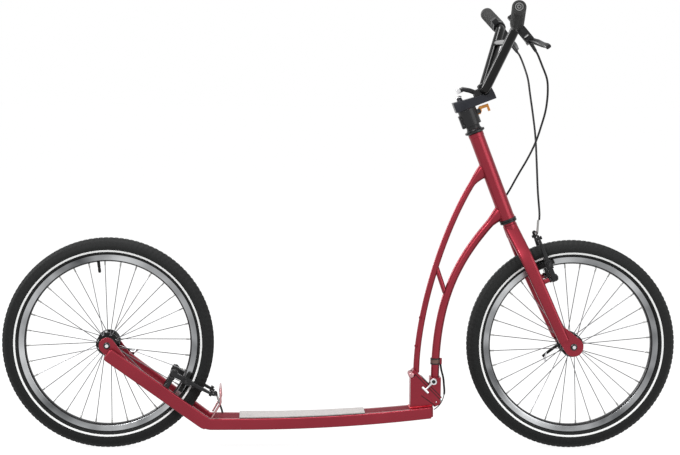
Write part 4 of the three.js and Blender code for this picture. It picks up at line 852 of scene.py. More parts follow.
def band(inner, outer, height, low_bevel, high_bevel):
    """Profile of a ring with bevelled outer rims."""
    return [
        (inner, 0), (outer - low_bevel, 0), (outer, low_bevel),
        (outer, height - high_bevel), (outer - high_bevel, height), (inner, height),
    ]


def turned(profile, origin, direction, segments=ROUND_SIDES):
    """Profile of (radius, along) corners turned about a line from origin."""
    turn = ACROSS.rotation_difference(Vector(direction).normalized())
    matrix = Matrix.Translation(origin) @ turn.to_matrix().to_4x4()
    vertices, faces = lathe(profile, segments)
    return [matrix @ v for v in vertices], faces


def round_bar(radius, start, end, segments=ROUND_SIDES, chamfer=0.0):
    """Cylinder between two points, with chamfered rims."""
    start, end = Vector(start), Vector(end)
    length = (end - start).length
    profile = [
        (0, 0), (radius - chamfer, 0), (radius, chamfer),
        (radius, length - chamfer), (radius - chamfer, length), (0, length),
    ]
    return turned(profile, start, end - start, segments)


def dome(radius, height, origin, direction, segments=ROUND_SIDES, steps=6):
    """Rounded bolt head."""
    profile = [(0, 0)]
    for step in range(steps + 1):
        angle = math.radians(90 * step / steps)
        profile.append((radius * math.cos(angle), height * math.sin(angle)))
    return turned(profile, origin, direction, segments)


def hexagon(radius, height, origin, direction):
    end = Vector(origin) + Vector(direction).normalized() * height
    return round_bar(radius, origin, end, 6, radius * HEXAGON_CHAMFER_SHARE)


def closed_bead(points, thickness, ripples):
    """Weld bead along a closed line, with the small ripples that a weld leaves."""
    count = len(points)
    vertices = []
    for i, point in enumerate(points):
        tangent = (points[(i + 1) % count] - points[i - 1]).normalized()
        side = tangent.cross(ACROSS if abs(tangent.y) < NEARLY_ACROSS else AHEAD).normalized()
        up = side.cross(tangent)
        swell = thickness * (1 + BEAD_SWELL_SHARE * math.sin(2 * math.pi * ripples * i / count))
        vertices += [point + a * side + b * up for a, b in circle(swell, SPOKE_SIDES)]
    return vertices, wrap_rings(count, SPOKE_SIDES)


def seam(path, thickness, ripples):
    """Weld bead along an open line."""
    def outline(place):
        swell = thickness * (1 + SEAM_SWELL_SHARE * math.sin(2 * math.pi * ripples * place))
        return circle(swell, SPOKE_SIDES)
    return sweep(path, outline)


def bezier(p0, p1, p2, p3, steps):
    points = []
    for step in range(steps + 1):
        t = step / steps
        u = 1 - t
        points.append(u ** 3 * p0 + 3 * u * u * t * p1 + 3 * u * t * t * p2 + t ** 3 * p3)
    return points


def bent_line(corners, radii, steps):
    """Straight runs with a bend at each inner corner; steps is a count, or one count for each bend."""
    counts = steps if isinstance(steps, list) else [steps] * len(radii)
    points = [corners[0]]
    for i in range(1, len(corners) - 1):
        before = (corners[i] - corners[i - 1]).normalized()
        after = (corners[i + 1] - corners[i]).normalized()
        turn = before.angle(after)
        radius = radii[i - 1]
        inward = (after - math.cos(turn) * before).normalized()
        start = corners[i] - radius * math.tan(turn / 2) * before
        for step in range(counts[i - 1] + 1):
            angle = turn * step / counts[i - 1]
            points.append(start + radius * math.sin(angle) * before + radius * (1 - math.cos(angle)) * inward)
    points.append(corners[-1])
    return points


def smooth_route(points, per_span=8):
    """Centripetal curve through chosen points."""
    points = [Vector(p) for p in points]
    padded = [2 * points[0] - points[1], *points, 2 * points[-1] - points[-2]]
    route = []
    for i in range(1, len(padded) - 2):
        p0, p1, p2, p3 = padded[i - 1:i + 3]
        t0 = 0.0
        t1 = t0 + (p1 - p0).length ** 0.5
        t2 = t1 + (p2 - p1).length ** 0.5
        t3 = t2 + (p3 - p2).length ** 0.5
        for step in range(per_span):
            t = t1 + (t2 - t1) * step / per_span
            a1 = (t1 - t) / (t1 - t0) * p0 + (t - t0) / (t1 - t0) * p1
            a2 = (t2 - t) / (t2 - t1) * p1 + (t - t1) / (t2 - t1) * p2
            a3 = (t3 - t) / (t3 - t2) * p2 + (t - t2) / (t3 - t2) * p3
            b1 = (t2 - t) / (t2 - t0) * a1 + (t - t0) / (t2 - t0) * a2
            b2 = (t3 - t) / (t3 - t1) * a2 + (t - t1) / (t3 - t1) * a3
            route.append((t2 - t) / (t2 - t1) * b1 + (t - t1) / (t2 - t1) * b2)
    route.append(points[-1])
    return route


def slab(outline, low, high, to_point):
    """Outline of (a, b) corners given a thickness; to_point places (a, b, height)."""
    count = len(outline)
    vertices = [to_point(a, b, low) for a, b in outline] + [to_point(a, b, high) for a, b in outline]
    faces = [tuple(range(count - 1, -1, -1)), tuple(range(count, 2 * count))]
    for i in range(count):
        following = (i + 1) % count
        faces.append((i, following, following + count, i + count))
    return vertices, faces


def teardrop(centre, radius, first, second):
    """Round eye with two straight edges that run on to two points."""
    def reach(point):
        return math.acos(radius / math.dist(point, centre))

    def bearing(point):
        return math.atan2(point[1] - centre[1], point[0] - centre[0])

    start = bearing(first) + reach(first)
    end = bearing(second) - reach(second)
    while end < start:
        end += 2 * math.pi
    outline = [first]
    for step in range(EYE_STEPS + 1):
        angle = start + (end - start) * step / EYE_STEPS
        outline.append((centre[0] + radius * math.cos(angle), centre[1] + radius * math.sin(angle)))
    outline.append(second)
    return outline


def side_point(a, b, height):
    return Vector((a, height, b))


# Wheels

def tyre_form():
    """Tyre with its tread cut as grooves and its reflective stripe as faces of their own."""
    middle = WHEEL_RADIUS - SECTION_RADIUS

    def around(angle, radius=SECTION_RADIUS):
        return middle + radius * math.cos(math.radians(angle)), radius * math.sin(math.radians(angle))

    upper = [
        (WHEEL_RADIUS, CENTRE_RIB_HALF),
        (WHEEL_RADIUS, CROWN_HALF),
        *(around(angle) for angle in (*SHOULDER_ANGLES, STRIPE_FROM, STRIPE_TO, BEAD_ANGLE)),
        (RIM_RADIUS + FIT, RIM_HALF_WIDTH - RIM_WALL - FIT),
        around(INSIDE_ANGLE, SECTION_RADIUS - TYRE_WALL),
    ]
    profile = [(radius, -along) for radius, along in reversed(upper)] + upper
    count = len(profile)
    edges = [around(STRIPE_FROM), around(STRIPE_TO)]
    on_edge = [
        any(math.dist((radius, abs(along)), edge) < SAME_POINT for edge in edges) for radius, along in profile
    ]
    stripe = [corner for corner in range(count) if on_edge[corner] and on_edge[(corner + 1) % count]]
    tread_half = around(TREAD_EDGE_ANGLE)[1]

    def groove(angle, along):
        share = abs(along) / tread_half
        start = TREAD_LEAN_SHARE * share + (0 if along > 0 else 0.5)
        wave = (TREAD_BLOCKS * angle / (2 * math.pi) + start) % 1
        return TREAD_DEPTH if CENTRE_RIB_SHARE < share <= 1 and wave < GROOVE_SHARE else 0

    return second_finish(lathe(profile, WHEEL_SEGMENTS, groove), count, stripe)


def rim_form():
    """Rim with its brake tracks; the bed that the spokes run into is dark."""
    inner = RIM_RADIUS - RIM_DEPTH
    track = RIM_RADIUS - TRACK_DEPTH
    profile = mirrored([
        (RIM_RADIUS - RIM_WELL_DEPTH, RIM_HALF_WIDTH - RIM_WALL),
        (RIM_RADIUS - RIM_WALL / 2, RIM_HALF_WIDTH - RIM_WALL),
        (RIM_RADIUS, RIM_HALF_WIDTH - RIM_WALL / 2),
        (RIM_RADIUS - RIM_WALL / 3, RIM_HALF_WIDTH),
        (track, RIM_HALF_WIDTH - RIM_WALL / 3),
        (track - RIM_WALL / 2, RIM_HALF_WIDTH - RIM_WALL / 2),
        (inner + RIM_WALL, RIM_BED_HALF + RIM_WALL / 2),
        (inner, RIM_BED_HALF / RIM_BED_TAPER),
        (inner - RIM_WALL / 6, 0),
    ])
    return second_finish(lathe(profile, WHEEL_SEGMENTS // 2), len(profile), RIM_BED_FACES)


def hub_form():
    half_width = DROPOUT_INNER - 2 * FIT
    return lathe(mirrored([
        (AXLE_RADIUS + FIT, half_width),
        (CONE_RADIUS - FIT, half_width),
        (CONE_RADIUS, half_width - FIT),
        (CONE_RADIUS + FIT, FLANGE_OUTER + 2 * FLANGE_WIDTH),
        (SHELL_RADIUS + FLANGE_WIDTH, FLANGE_OUTER + FLANGE_WIDTH / 3),
        (SPOKE_HOLE_RADIUS - FLANGE_WIDTH, FLANGE_OUTER),
        (FLANGE_RADIUS - FIT, FLANGE_OUTER),
        (FLANGE_RADIUS, FLANGE_OUTER - FIT),
        (FLANGE_RADIUS, FLANGE_OUTER - FLANGE_WIDTH + FIT),
        (FLANGE_RADIUS - FIT, FLANGE_OUTER - FLANGE_WIDTH),
        (SHELL_RADIUS + 2 * FLANGE_WIDTH / 3, FLANGE_OUTER - 2 * FLANGE_WIDTH),
        (SHELL_RADIUS, FLANGE_OUTER - 4 * FLANGE_WIDTH),
        (SHELL_RADIUS - FLANGE_WIDTH / 3, 0),
    ]), HUB_SIDES)


def spoke_ends(index, side, phase):
    """A spoke's place at the hub's flange and its place at the rim."""
    pitch = 360 / SPOKES_PER_SIDE
    stagger = pitch / 2 if side > 0 else 0
    outside = index % 2 == 0
    rim_angle = math.radians(pitch * index + stagger + phase)
    hub_angle = rim_angle + math.radians(SPOKES_CROSSED if outside else -SPOKES_CROSSED)
    lift = 2 * SPOKE_RADIUS + FIT if outside else 0

    def at(radius, angle, across):
        return Vector((radius * math.sin(angle), side * (across + lift), radius * math.cos(angle)))

    head = at(SPOKE_HOLE_RADIUS, hub_angle, FLANGE_OUTER + SPOKE_STANDOFF)
    return head, at(RIM_RADIUS - RIM_DEPTH - FIT, rim_angle, SPOKE_RIM_HALF)


def build_spokes(prefix, name, side, matrix, phase):
    """Spokes of one side, each with its head, its elbow and its nipple."""
    wires = Shape()
    outward = side * ACROSS
    nipple = [
        (0, 0), (SPOKE_RADIUS, 0), (NIPPLE_RADIUS, NIPPLE_LENGTH / 6), (NIPPLE_RADIUS, NIPPLE_LENGTH),
        (0, NIPPLE_LENGTH),
    ]
    for index in range(SPOKES_PER_SIDE):
        head, foot = spoke_ends(index, side, phase)
        along = (foot - head).normalized()
        hook = head - (SPOKE_STANDOFF + SPOKE_RADIUS) * outward
        path = [hook, head - SPOKE_RADIUS / 2 * outward, head + 2 * SPOKE_RADIUS * along, foot]
        wires.add(sweep(path, circle(SPOKE_RADIUS, SPOKE_SIDES)), matrix=matrix)
        wires.add(turned(nipple, foot - NIPPLE_LENGTH * along, along, WIRE_SIDES), 1, matrix)
        crown = head + SPOKE_RADIUS / 2 * outward
        wires.add(dome(NIPPLE_RADIUS, SPOKE_RADIUS, crown, outward, WIRE_SIDES, steps=3), matrix=matrix)
    wires.stand_for(f"{prefix}_spokes_{name}", "wires", [WIRE, DULL_METAL])


def build_valve(prefix, angle, matrix):
    turn = math.radians(angle)
    foot = (RIM_RADIUS - RIM_DEPTH + RIM_WALL) * Vector((-math.sin(turn), 0, math.cos(turn)))
    stem = scaled_profile(VALVE_SHARES, VALVE_RADIUS, VALVE_REACH + RIM_WALL)
    valve = Shape().add(turned(stem, foot, -foot.normalized(), BOLT_SIDES), matrix=matrix)
    valve.make(f"{prefix}_valve", f"{prefix}_wheel", [RUBBER], "rubber", [f"{prefix}_inner_tube"])


def build_wheel(prefix, centre, valve_angle, spoke_phase):
    matrix = Matrix.Translation(centre)
    for node, suffix, form, materials in (
        ("tyre", "treaded", tyre_form(), [TYRE, STRIPE]),
        ("rim", "turned", rim_form(), [ALLOY_WITH_PAINTED_REFLECTIONS, RIM_BLACK]),
        ("hub", "turned", hub_form(), [GLOSS_BLACK]),
    ):
        Shape().add(form, matrix=matrix).stand_for(f"{prefix}_{node}", suffix, materials)
    for name, side in SIDES:
        build_spokes(prefix, name, side, matrix, spoke_phase)
    build_valve(prefix, valve_angle, matrix)


def build_axle(prefix):
    """Axle with its nut on the right and its release cam on the left."""
    centre, cam_length = AXLES[prefix]
    matrix = Matrix.Translation(centre)
    axle = Shape()
    ends = -(AXLE_OUTER + NUT_LENGTH + FIT) * ACROSS, (AXLE_OUTER + cam_length) * ACROSS
    axle.add(round_bar(AXLE_RADIUS, *ends, chamfer=3 * FIT), 1, matrix)
    nut = scaled_profile(NUT_SHARES, NUT_RADIUS, NUT_LENGTH)
    axle.add(turned(nut, -AXLE_OUTER * ACROSS, -ACROSS), matrix=matrix)
    cam = scaled_profile(CAM_SHARES, CAM_RADIUS, cam_length)
    axle.add(turned(cam, AXLE_OUTER * ACROSS, ACROSS), matrix=matrix)
    axle.stand_for(f"{prefix}_axle", "turned", [DARK_STEEL, STEEL])


# Dropouts and brake bosses

def build_dropout(prefix, name, side, eye, body, matrix=None):
    low = DROPOUT_INNER if side > 0 else -DROPOUT_INNER - DROPOUT_THICKNESS
    plate = Shape().add(slab(eye, low, low + DROPOUT_THICKNESS, side_point), 0, matrix)
    plate.make(f"{prefix}_dropout_{name}", body, [PAINT], "frame_paint", edge=EDGE_WIDTH)


def brake_boss(side, back):
    """Round boss that carries a brake arm."""
    pivot = Vector((0, side * BRAKE_PIVOT_HALF, BRAKE_PIVOT))
    return round_bar(BOSS_RADIUS, pivot - back * FORWARD, pivot + BOSS_END * FORWARD, chamfer=FIT)


# Footboard

def deck_rise(x):
    run = max(x - RAIL_ARC_START, 0)
    return RAIL_ARC_RADIUS - math.sqrt(RAIL_ARC_RADIUS ** 2 - run ** 2)


def deck_half(x):
    front_x = DECK_FRONT_X - DECK_FRONT_HALF / 2
    share = (front_x - x) / (front_x - DECK_REAR_X)
    return DECK_FRONT_HALF + (DECK_REAR_HALF - DECK_FRONT_HALF) * share


def rail_path(side):
    """Middle line of one rail, from the front cross piece to the rear dropout."""
    middle = RAIL_WIDTH / 2
    centre_z = DECK_BOTTOM + RAIL_HEIGHT / 2
    front_x = DECK_FRONT_X - middle
    turn = math.asin((front_x - RAIL_ARC_START) / RAIL_ARC_RADIUS)
    corner_x = RAIL_ARC_START + RAIL_ARC_RADIUS * math.tan(turn / 2)
    front_z = centre_z + (front_x - corner_x) * math.tan(turn)
    corners = [
        Vector((front_x, side * FIT, front_z)),
        Vector((front_x, side * (DECK_FRONT_HALF - middle), front_z)),
        Vector((corner_x, side * (deck_half(corner_x) - middle), centre_z)),
        Vector((DECK_REAR_X, side * (DECK_REAR_HALF - middle), centre_z)),
        Vector((REAR_AXLE.x, side * (STAY_END_HALF - middle), REAR_AXLE.z - STAY_END_DROP)),
    ]
    path = bent_line(corners, [DECK_CORNER_RADIUS, RAIL_ARC_RADIUS, STAY_BEND_RADIUS], steps=[1, 16, 12])
    along = (path[-1] - path[-2]).normalized()
    tip = [path[-1] - along * STAY_TIP_LENGTH * share for share in STAY_TIP_PLACE_SHARES]
    return [*path[:-1], *tip, path[-1]]


def build_rail(name, side):
    """One rail with its stay and brake boss, and the rear dropout at its end."""
    path = rail_path(side)
    last = len(path) - 1

    def section(place):
        point = round(place * last)
        height = STAY_HEIGHT if path[point].x < DECK_REAR_X else RAIL_HEIGHT
        shrink = STAY_TIP_SHARES[min(last - point, len(STAY_TIP_SHARES) - 1)]
        return rounded_rectangle(RAIL_WIDTH * (1 + shrink) / 2, height * shrink, RAIL_CORNER * shrink)

    rail = Shape().add(sweep(path, section, UP))
    near = [(REAR_AXLE.x + x * STAY_HEIGHT, REAR_AXLE.z + z * STAY_HEIGHT) for x, z in REAR_EYE_SHARES]
    eye = teardrop((REAR_AXLE.x, REAR_AXLE.z), REAR_DROPOUT_RADIUS, *near)
    build_dropout("rear", name, side, eye, "footboard")
    rail.add(brake_boss(-side, REAR_BOSS_BACK), 1, REAR_BRAKE)
    rail.stand_for(f"deck_rail_{name}", "tube", [PAINT, SATIN_BLACK])


def build_deck():
    for name, side in SIDES:
        build_rail(name, side)
    # The pan's dark red is painted shade of its recess.
    refined("deck_pan", [PAN_PAINTED_SHADE])
    refined("deck_grip_pad", [GRIT])
    guard_z = DECK_BOTTOM + RAIL_HEIGHT + GUARD_RADIUS
    legs = []
    for side in (-1, 1):
        leg = [
            Vector((GUARD_FOOT_X, side * GUARD_FOOT_HALF, guard_z)),
            Vector((GUARD_KNEE[0], side * GUARD_HALF, GUARD_KNEE[1])),
            Vector((GUARD_TOP[0], side * GUARD_HALF, GUARD_TOP[1])),
        ]
        legs += leg if side < 0 else leg[::-1]
    wire = Shape().add(sweep(bent_line(legs, [GUARD_BEND] * 4, steps=10), circle(GUARD_RADIUS, WIRE_SIDES)))
    # The guard's pale pink is a painted reflection of the red frame.
    wire.stand_for("heel_guard", "wire", [PINK_PAINTED_SHEEN])


def fold_point(x, y, z):
    return FOLD @ Vector((x, y, z))


def fold_strip(line, half, side, proud):
    """Flat strip along the side of the fold, between the two places of its line."""
    start, end = (Vector(place) for place in line)
    along = (end - start).normalized() * half
    across = Vector((-along.y, along.x))
    outline = [start - across, end - across, end + across, start + across]
    low, high = sorted((side * (GUSSET_HALF - FIT), side * (GUSSET_HALF + proud)))
    return slab(outline, low, high, lambda a, b, height: fold_point(a, height, b))


def build_fold_sides():
    """Dark strips painted as the shadows in the fold's gap and along the leaf's upper edge, a rib with a dark
    strip painted as the shade beneath it, and a rivet, on each side of the fold.
    """
    # Line of the dark strip painted as shade, just below the rib.
    groove = [(along, out - 2 * RIB_HALF) for along, out in RIB_LINE]
    rib_shade_half = SHADOW_STRIP_HALF * RIB_SHADE_SHARE
    head_rise = RIVET_RADIUS * RIVET_HEAD_SHARE
    # The three dark strips are painted: shadows in the fold's gap and at the leaf's edge, and shade under the
    # rib.
    strips = (
        ("fold_gap_painted_shadow", "footboard", FOLD_GAP_SHADOW_LINE, SHADOW_STRIP_HALF, SHADOW_STRIP_PROUD, RUBBER, "black_paint", 0),
        ("leaf_edge_painted_shadow", "front_frame", LEAF_EDGE_SHADOW_LINE, SHADOW_STRIP_HALF, SHADOW_STRIP_PROUD, RUBBER, "black_paint", 0),
        ("gusset_rib", "footboard", RIB_LINE, RIB_HALF, RIB_PROUD, PAINT, "frame_paint", RIB_HALF / 3),
        ("gusset_rib_painted_shade", "footboard", groove, rib_shade_half, SHADOW_STRIP_PROUD, RUBBER, "black_paint", 0),
    )
    for name, side in SIDES:
        for piece, body, line, half, proud, material, slot, edge in strips:
            strip = Shape().add(fold_strip(line, half, side, proud))
            strip.make(f"{piece}_{name}", body, [material], slot, edge=edge)
        place = fold_point(RIVET_PLACE[0], side * GUSSET_HALF, RIVET_PLACE[1])
        rivet = Shape().add(dome(RIVET_RADIUS, head_rise, place, side * ACROSS, BOLT_SIDES))
        rivet.make(f"gusset_rivet_{name}", "footboard", [STEEL], "polished_steel")


def build_gusset_foot():
    """Rounded toe of the gusset, and the weld around its foot, whose brighter red is a painted glow of light
    bounced off the deck.
    """
    toe = [fold_point(along, 0, out) for along, out in TOE_CORNERS]
    block = slab([(point.x, point.z) for point in toe], FIT - GUSSET_HALF, GUSSET_HALF - FIT, side_point)
    Shape().add(block).make("gusset_toe", "footboard", [PAINT], "frame_paint", edge=TOE_EDGE)
    half = GUSSET_HALF + FOOT_WELD_RADIUS / 2
    top = DECK_BOTTOM + RAIL_HEIGHT + FOOT_WELD_RADIUS / 2
    steps = 10
    run = [FOOT_WELD_FROM + (FOOT_WELD_TO - FOOT_WELD_FROM) * step / steps for step in range(steps + 1)]
    path = [Vector((x, -half, top + deck_rise(x))) for x in reversed(run)]
    path += [Vector((x, half, top + deck_rise(x))) for x in run]
    # The weld's brighter red is painted glow, not a colour of its own.
    weld = Shape().add(seam(path, FOOT_WELD_RADIUS, FOOT_WELD_RIPPLES))
    weld.make("gusset_foot_weld", "footboard", [FILLET_PAINTED_GLOW], "frame_paint")


def low_block(place):
    """A corner of the hinge leaf, its block cut level with the foot of the lower tube."""
    top = LEAF_BLOCK_TOP if place.x > LEAF_BLOCK_REAR else place.z
    return Vector((place.x, place.y, min(place.z, top)))


def build_swing_bolt():
    """Eye, rod and cross nut of the swing bolt, beside the gusset."""
    across = -(GUSSET_HALF + FIT + BOLT_NUT_RADIUS)
    nut_height = BOLT_EYE_HEIGHT - BOLT_ROD_LENGTH
    bore = BOLT_ROD_RADIUS + FIT
    bevel = 3 * FIT
    eye = [
        (bore, bevel), (bore + bevel, 0), (BOLT_EYE_RADIUS - bevel, 0), (BOLT_EYE_RADIUS, bevel),
        (BOLT_EYE_RADIUS, BOLT_EYE_WIDTH - bevel), (BOLT_EYE_RADIUS - bevel, BOLT_EYE_WIDTH),
        (bore + bevel, BOLT_EYE_WIDTH), (bore, BOLT_EYE_WIDTH - bevel),
    ]
    eye_side = fold_point(BOLT_ALONG, across - BOLT_EYE_WIDTH / 2, BOLT_EYE_HEIGHT)
    bolt = Shape().add(turned(eye, eye_side, ACROSS))
    rod_top = fold_point(BOLT_ALONG, across, BOLT_EYE_HEIGHT - BOLT_ROD_SET)
    bolt.add(round_bar(BOLT_ROD_RADIUS, rod_top, fold_point(BOLT_ALONG, across, nut_height)))
    nut_ends = [fold_point(BOLT_ALONG + end * BOLT_NUT_LENGTH / 2, across, nut_height) for end in (-1, 1)]
    bolt.add(round_bar(BOLT_NUT_RADIUS, *nut_ends, chamfer=SMALL_CHAMFER))
    bolt.make("swing_bolt_turned", "swing_bolt", [STEEL], "polished_steel", ["hinge_swing_bolt"])


def build_fold():
    refined("hinge_gusset", [PAINT])
    beyond_leaf = GUSSET_HALF + SHADOW_STRIP_PROUD
    refined("hinge_leaf", [PAINT, SATIN_BLACK], choose=lambda polygon: int(polygon.center.y < -beyond_leaf),
            reshape=low_block)
    pin = Shape()
    pivot = Vector((FOLD_X, 0, FOLD_Z))
    for side in (-1, 1):
        face = pivot + side * (GUSSET_HALF + FIT) * ACROSS
        pin.add(dome(PIN_HEAD_RADIUS, PIN_HEAD_RADIUS * PIN_HEAD_SHARE, face, side * ACROSS))
    half = (GUSSET_HALF + 2 * FIT) * ACROSS
    pin.add(round_bar(PIN_RADIUS, pivot - half, pivot + half))
    # The pin's pale pink is a painted highlight.
    pin.stand_for("hinge_pin", "turned", [PINK_PAINTED_SHEEN])
    build_swing_bolt()
    build_fold_sides()
    build_gusset_foot()


# Front frame

def tube_line(tube):
    """Middle line of a frame tube, from its top to its foot."""
    top, foot = (Vector((x, 0, z)) for x, z in (tube["top"], tube["foot"]))
    slope = math.radians(tube["top_slope"])
    pull = tube["top_pull"] * Vector((-math.cos(slope), 0, -math.sin(slope)))
    return bezier(top, top + pull, foot + tube["foot_pull"] * UP, foot, TUBE_STEPS)


def at_height(line, height):
    return min(line, key=lambda point: abs(point.z - height))


def flared_tube(tube, line):
    """Tube that widens towards its top end and runs on into the head tube."""
    rear, front, across = tube["flare"]
    radius, run_in = tube["radius"], tube["run_in"]
    onward = (line[0] - line[1]).normalized()
    line = [line[0] + onward * run_in, line[0] + onward * run_in / 2, *line]
    lengths = [-run_in, -run_in / 2, 0.0]
    for before, after in zip(line[2:], line[3:]):
        lengths.append(lengths[-1] + (after - before).length)
    last = len(line) - 1

    def section(place):
        share = clamped(1 - lengths[round(place * last)] / FLARE_LENGTH)
        grown = share * share * (3 - 2 * share)
        return [(a * (radius + (front if a > 0 else rear) * grown), b * (radius + across * grown))
                for a, b in circle(1, ROUND_SIDES)]

    return sweep(line, section, ACROSS)


def head_distance(point):
    """Distance from the steering axis."""
    local = STEERING.inverted() @ point
    return math.hypot(local.x, local.y)


def junction(form):
    """Closed line in which a tube's skin meets the head tube."""
    vertices = form[0]
    points = []
    for side in range(ROUND_SIDES):
        run = vertices[side::ROUND_SIDES]
        for inner, outer in zip(run, run[1:]):
            near, far = head_distance(inner), head_distance(outer)
            if near <= HEAD_RADIUS < far:
                points.append(inner.lerp(outer, (HEAD_RADIUS - near) / (far - near)))
                break
    return points


def above_leaf(form):
    """The tube's foot, cut by the leaf's upper face."""
    vertices, faces = form
    for vertex in vertices:
        out = (vertex - FOLD.translation).dot(FOLD_OUT)
        if out < LEAF_TOP - FIT:
            vertex.z += (LEAF_TOP - FIT - out) / FOLD_OUT.z
    return vertices, faces


def axis_point(height):
    """A place on the steering axis."""
    return STEERING @ Vector((0, 0, height))


def build_head():
    """Head tube with a ring at each end, and the two cups beyond them."""
    foot, top = axis_point(HEAD_LOW), axis_point(HEAD_HIGH)
    head = Shape().add(round_bar(HEAD_RADIUS, foot, top, HEAD_SIDES, HEAD_CHAMFER))
    ring = [
        (HEAD_RADIUS - FIT, 0), (HEAD_RADIUS + HEAD_RING_PROUD, FIT),
        (HEAD_RADIUS + HEAD_RING_PROUD, HEAD_RING_LENGTH - HEAD_RING_TAPER),
        (HEAD_RADIUS - FIT, HEAD_RING_LENGTH),
    ]
    head.add(turned(ring, foot, UPWARD, HEAD_SIDES))
    head.add(turned(ring, top, -UPWARD, HEAD_SIDES))
    head.stand_for("head_tube", "turned", [PAINT])
    bore = STEERER_RADIUS + FIT
    lower = band(bore, LOWER_CUP_RADIUS, LOWER_CUP_HEIGHT, *LOWER_CUP_BEVELS)
    cup = Shape().add(turned(lower, foot - (FIT + LOWER_CUP_HEIGHT) * UPWARD, UPWARD, HEAD_SIDES))
    bevel_width, bevel_height = SEAL_BAND_BEVEL
    seal = [
        (HEAD_RADIUS, -FIT), (LOWER_CUP_RADIUS, -FIT), (LOWER_CUP_RADIUS, SEAL_BAND - bevel_height),
        (LOWER_CUP_RADIUS - bevel_width, SEAL_BAND), (HEAD_RADIUS, SEAL_BAND),
    ]
    cup.add(turned(seal, foot, UPWARD, HEAD_SIDES))
    cup.stand_for("headset_cup_lower", "turned", [SATIN_BLACK])
    neck, rim = HEAD_RADIUS + UPPER_CUP_STEP, UPPER_CUP_RADIUS - UPPER_CUP_STEP
    radii = (rim, UPPER_CUP_RADIUS, UPPER_CUP_RADIUS, rim, neck)
    upper = [
        (bore, 0), (neck, 0), *zip(radii, UPPER_CUP_LEVELS),
        (HEAD_RADIUS, UPPER_CUP_HEIGHT), (bore, UPPER_CUP_HEIGHT),
    ]
    cup = Shape().add(turned(upper, top + FIT * UPWARD, UPWARD, HEAD_SIDES))
    cup.stand_for("headset_cup_upper", "turned", [SATIN_BLACK])


def build_tube_weld(name, form):
    weld = Shape().add(closed_bead(junction(form), WELD_RADIUS, WELD_RIPPLES))
    weld.make(f"{name}_tube_weld", "front_frame", [WELD], "frame_paint")


def build_tubes():
    """Upper tube with its threaded bosses, and lower tube, each with its weld at the head tube."""
    line = tube_line(UPPER_TUBE)
    form = above_leaf(flared_tube(UPPER_TUBE, line))
    build_tube_weld("upper", form)
    tube = Shape().add(form)
    outward = Vector((-1, -1, 0)).normalized()
    for height in TUBE_BOSS_HEIGHTS:
        start = at_height(line, height)
        end = start + (UPPER_TUBE["radius"] + TUBE_BOSS_PROUD) * outward
        tube.add(round_bar(TUBE_BOSS_RADIUS, start, end, BOLT_SIDES, SMALL_CHAMFER))
    tube.stand_for("upper_frame_tube", "bent", [PAINT])
    form = flared_tube(LOWER_TUBE, tube_line(LOWER_TUBE))
    build_tube_weld("lower", form)
    Shape().add(form).stand_for("lower_frame_tube", "bent", [PAINT])


def build_collar():
    """Collar around the lower tube's foot, its two dark lips and the cable stop in front of it."""
    inner = LOWER_TUBE["radius"]
    foot = Vector((LOWER_TUBE["foot"][0], 0, COLLAR_LOW))
    sleeve = band(inner - FIT, COLLAR_RADIUS, COLLAR_HEIGHT, COLLAR_BEVEL, COLLAR_BEVEL)
    collar = Shape().add(turned(sleeve, foot, UP))
    lip = [(inner, 0), (COLLAR_RADIUS + FIT, 0), (COLLAR_RADIUS + FIT, COLLAR_LIP), (inner, COLLAR_LIP)]
    for rise in (0, COLLAR_HEIGHT - COLLAR_LIP):
        collar.add(turned(lip, foot + rise * UP, UP), 1)
    stop = Vector((CABLE_STOP_X, 0, COLLAR_LOW))
    collar.add(round_bar(CABLE_STOP_RADIUS, stop, stop + COLLAR_HEIGHT * UP, BOLT_SIDES, SMALL_CHAMFER), 2)
    collar.make("lower_tube_collar", "front_frame", [BRONZE, SATIN_BLACK, PAINT], "frame_paint")


def build_front_frame():
    build_head()
    build_tubes()
    build_collar()
    refined("frame_brace", [PAINT], 0)


# Fork

def build_fork():
    height = CROWN_HIGH - CROWN_LOW
    race = HEAD_LOW - 2 * FIT - LOWER_CUP_HEIGHT - CROWN_LOW
    end = BAR_HEIGHT - CROWN_LOW - STEERER_END_DROP
    foot, shoulder = (CROWN_RADIUS * share for share in CROWN_FOOT_SHARES)
    shoulder_level, side_level = CROWN_FOOT_LEVELS
    profile = [
        (0, 0), (foot, 0), (shoulder, shoulder_level), (CROWN_RADIUS, side_level),
        (CROWN_RADIUS, height - CROWN_BEVEL), (CROWN_RADIUS - CROWN_BEVEL, height),
        (RACE_RADIUS, height), (RACE_RADIUS, race), (STEERER_RADIUS, race), (STEERER_RADIUS, end), (0, end),
    ]
    crown = Shape().add(turned(profile, axis_point(CROWN_LOW), UPWARD, HEAD_SIDES))
    crown.stand_for("fork_crown", "turned", [PAINT])
    for name, side in SIDES:
        build_blade(name, side)


def blade_centre(height):
    return FORK_OFFSET * BLADE_CENTRE_SHARE - (height - BLADE_FOOT) * math.tan(math.radians(BLADE_RAKE))


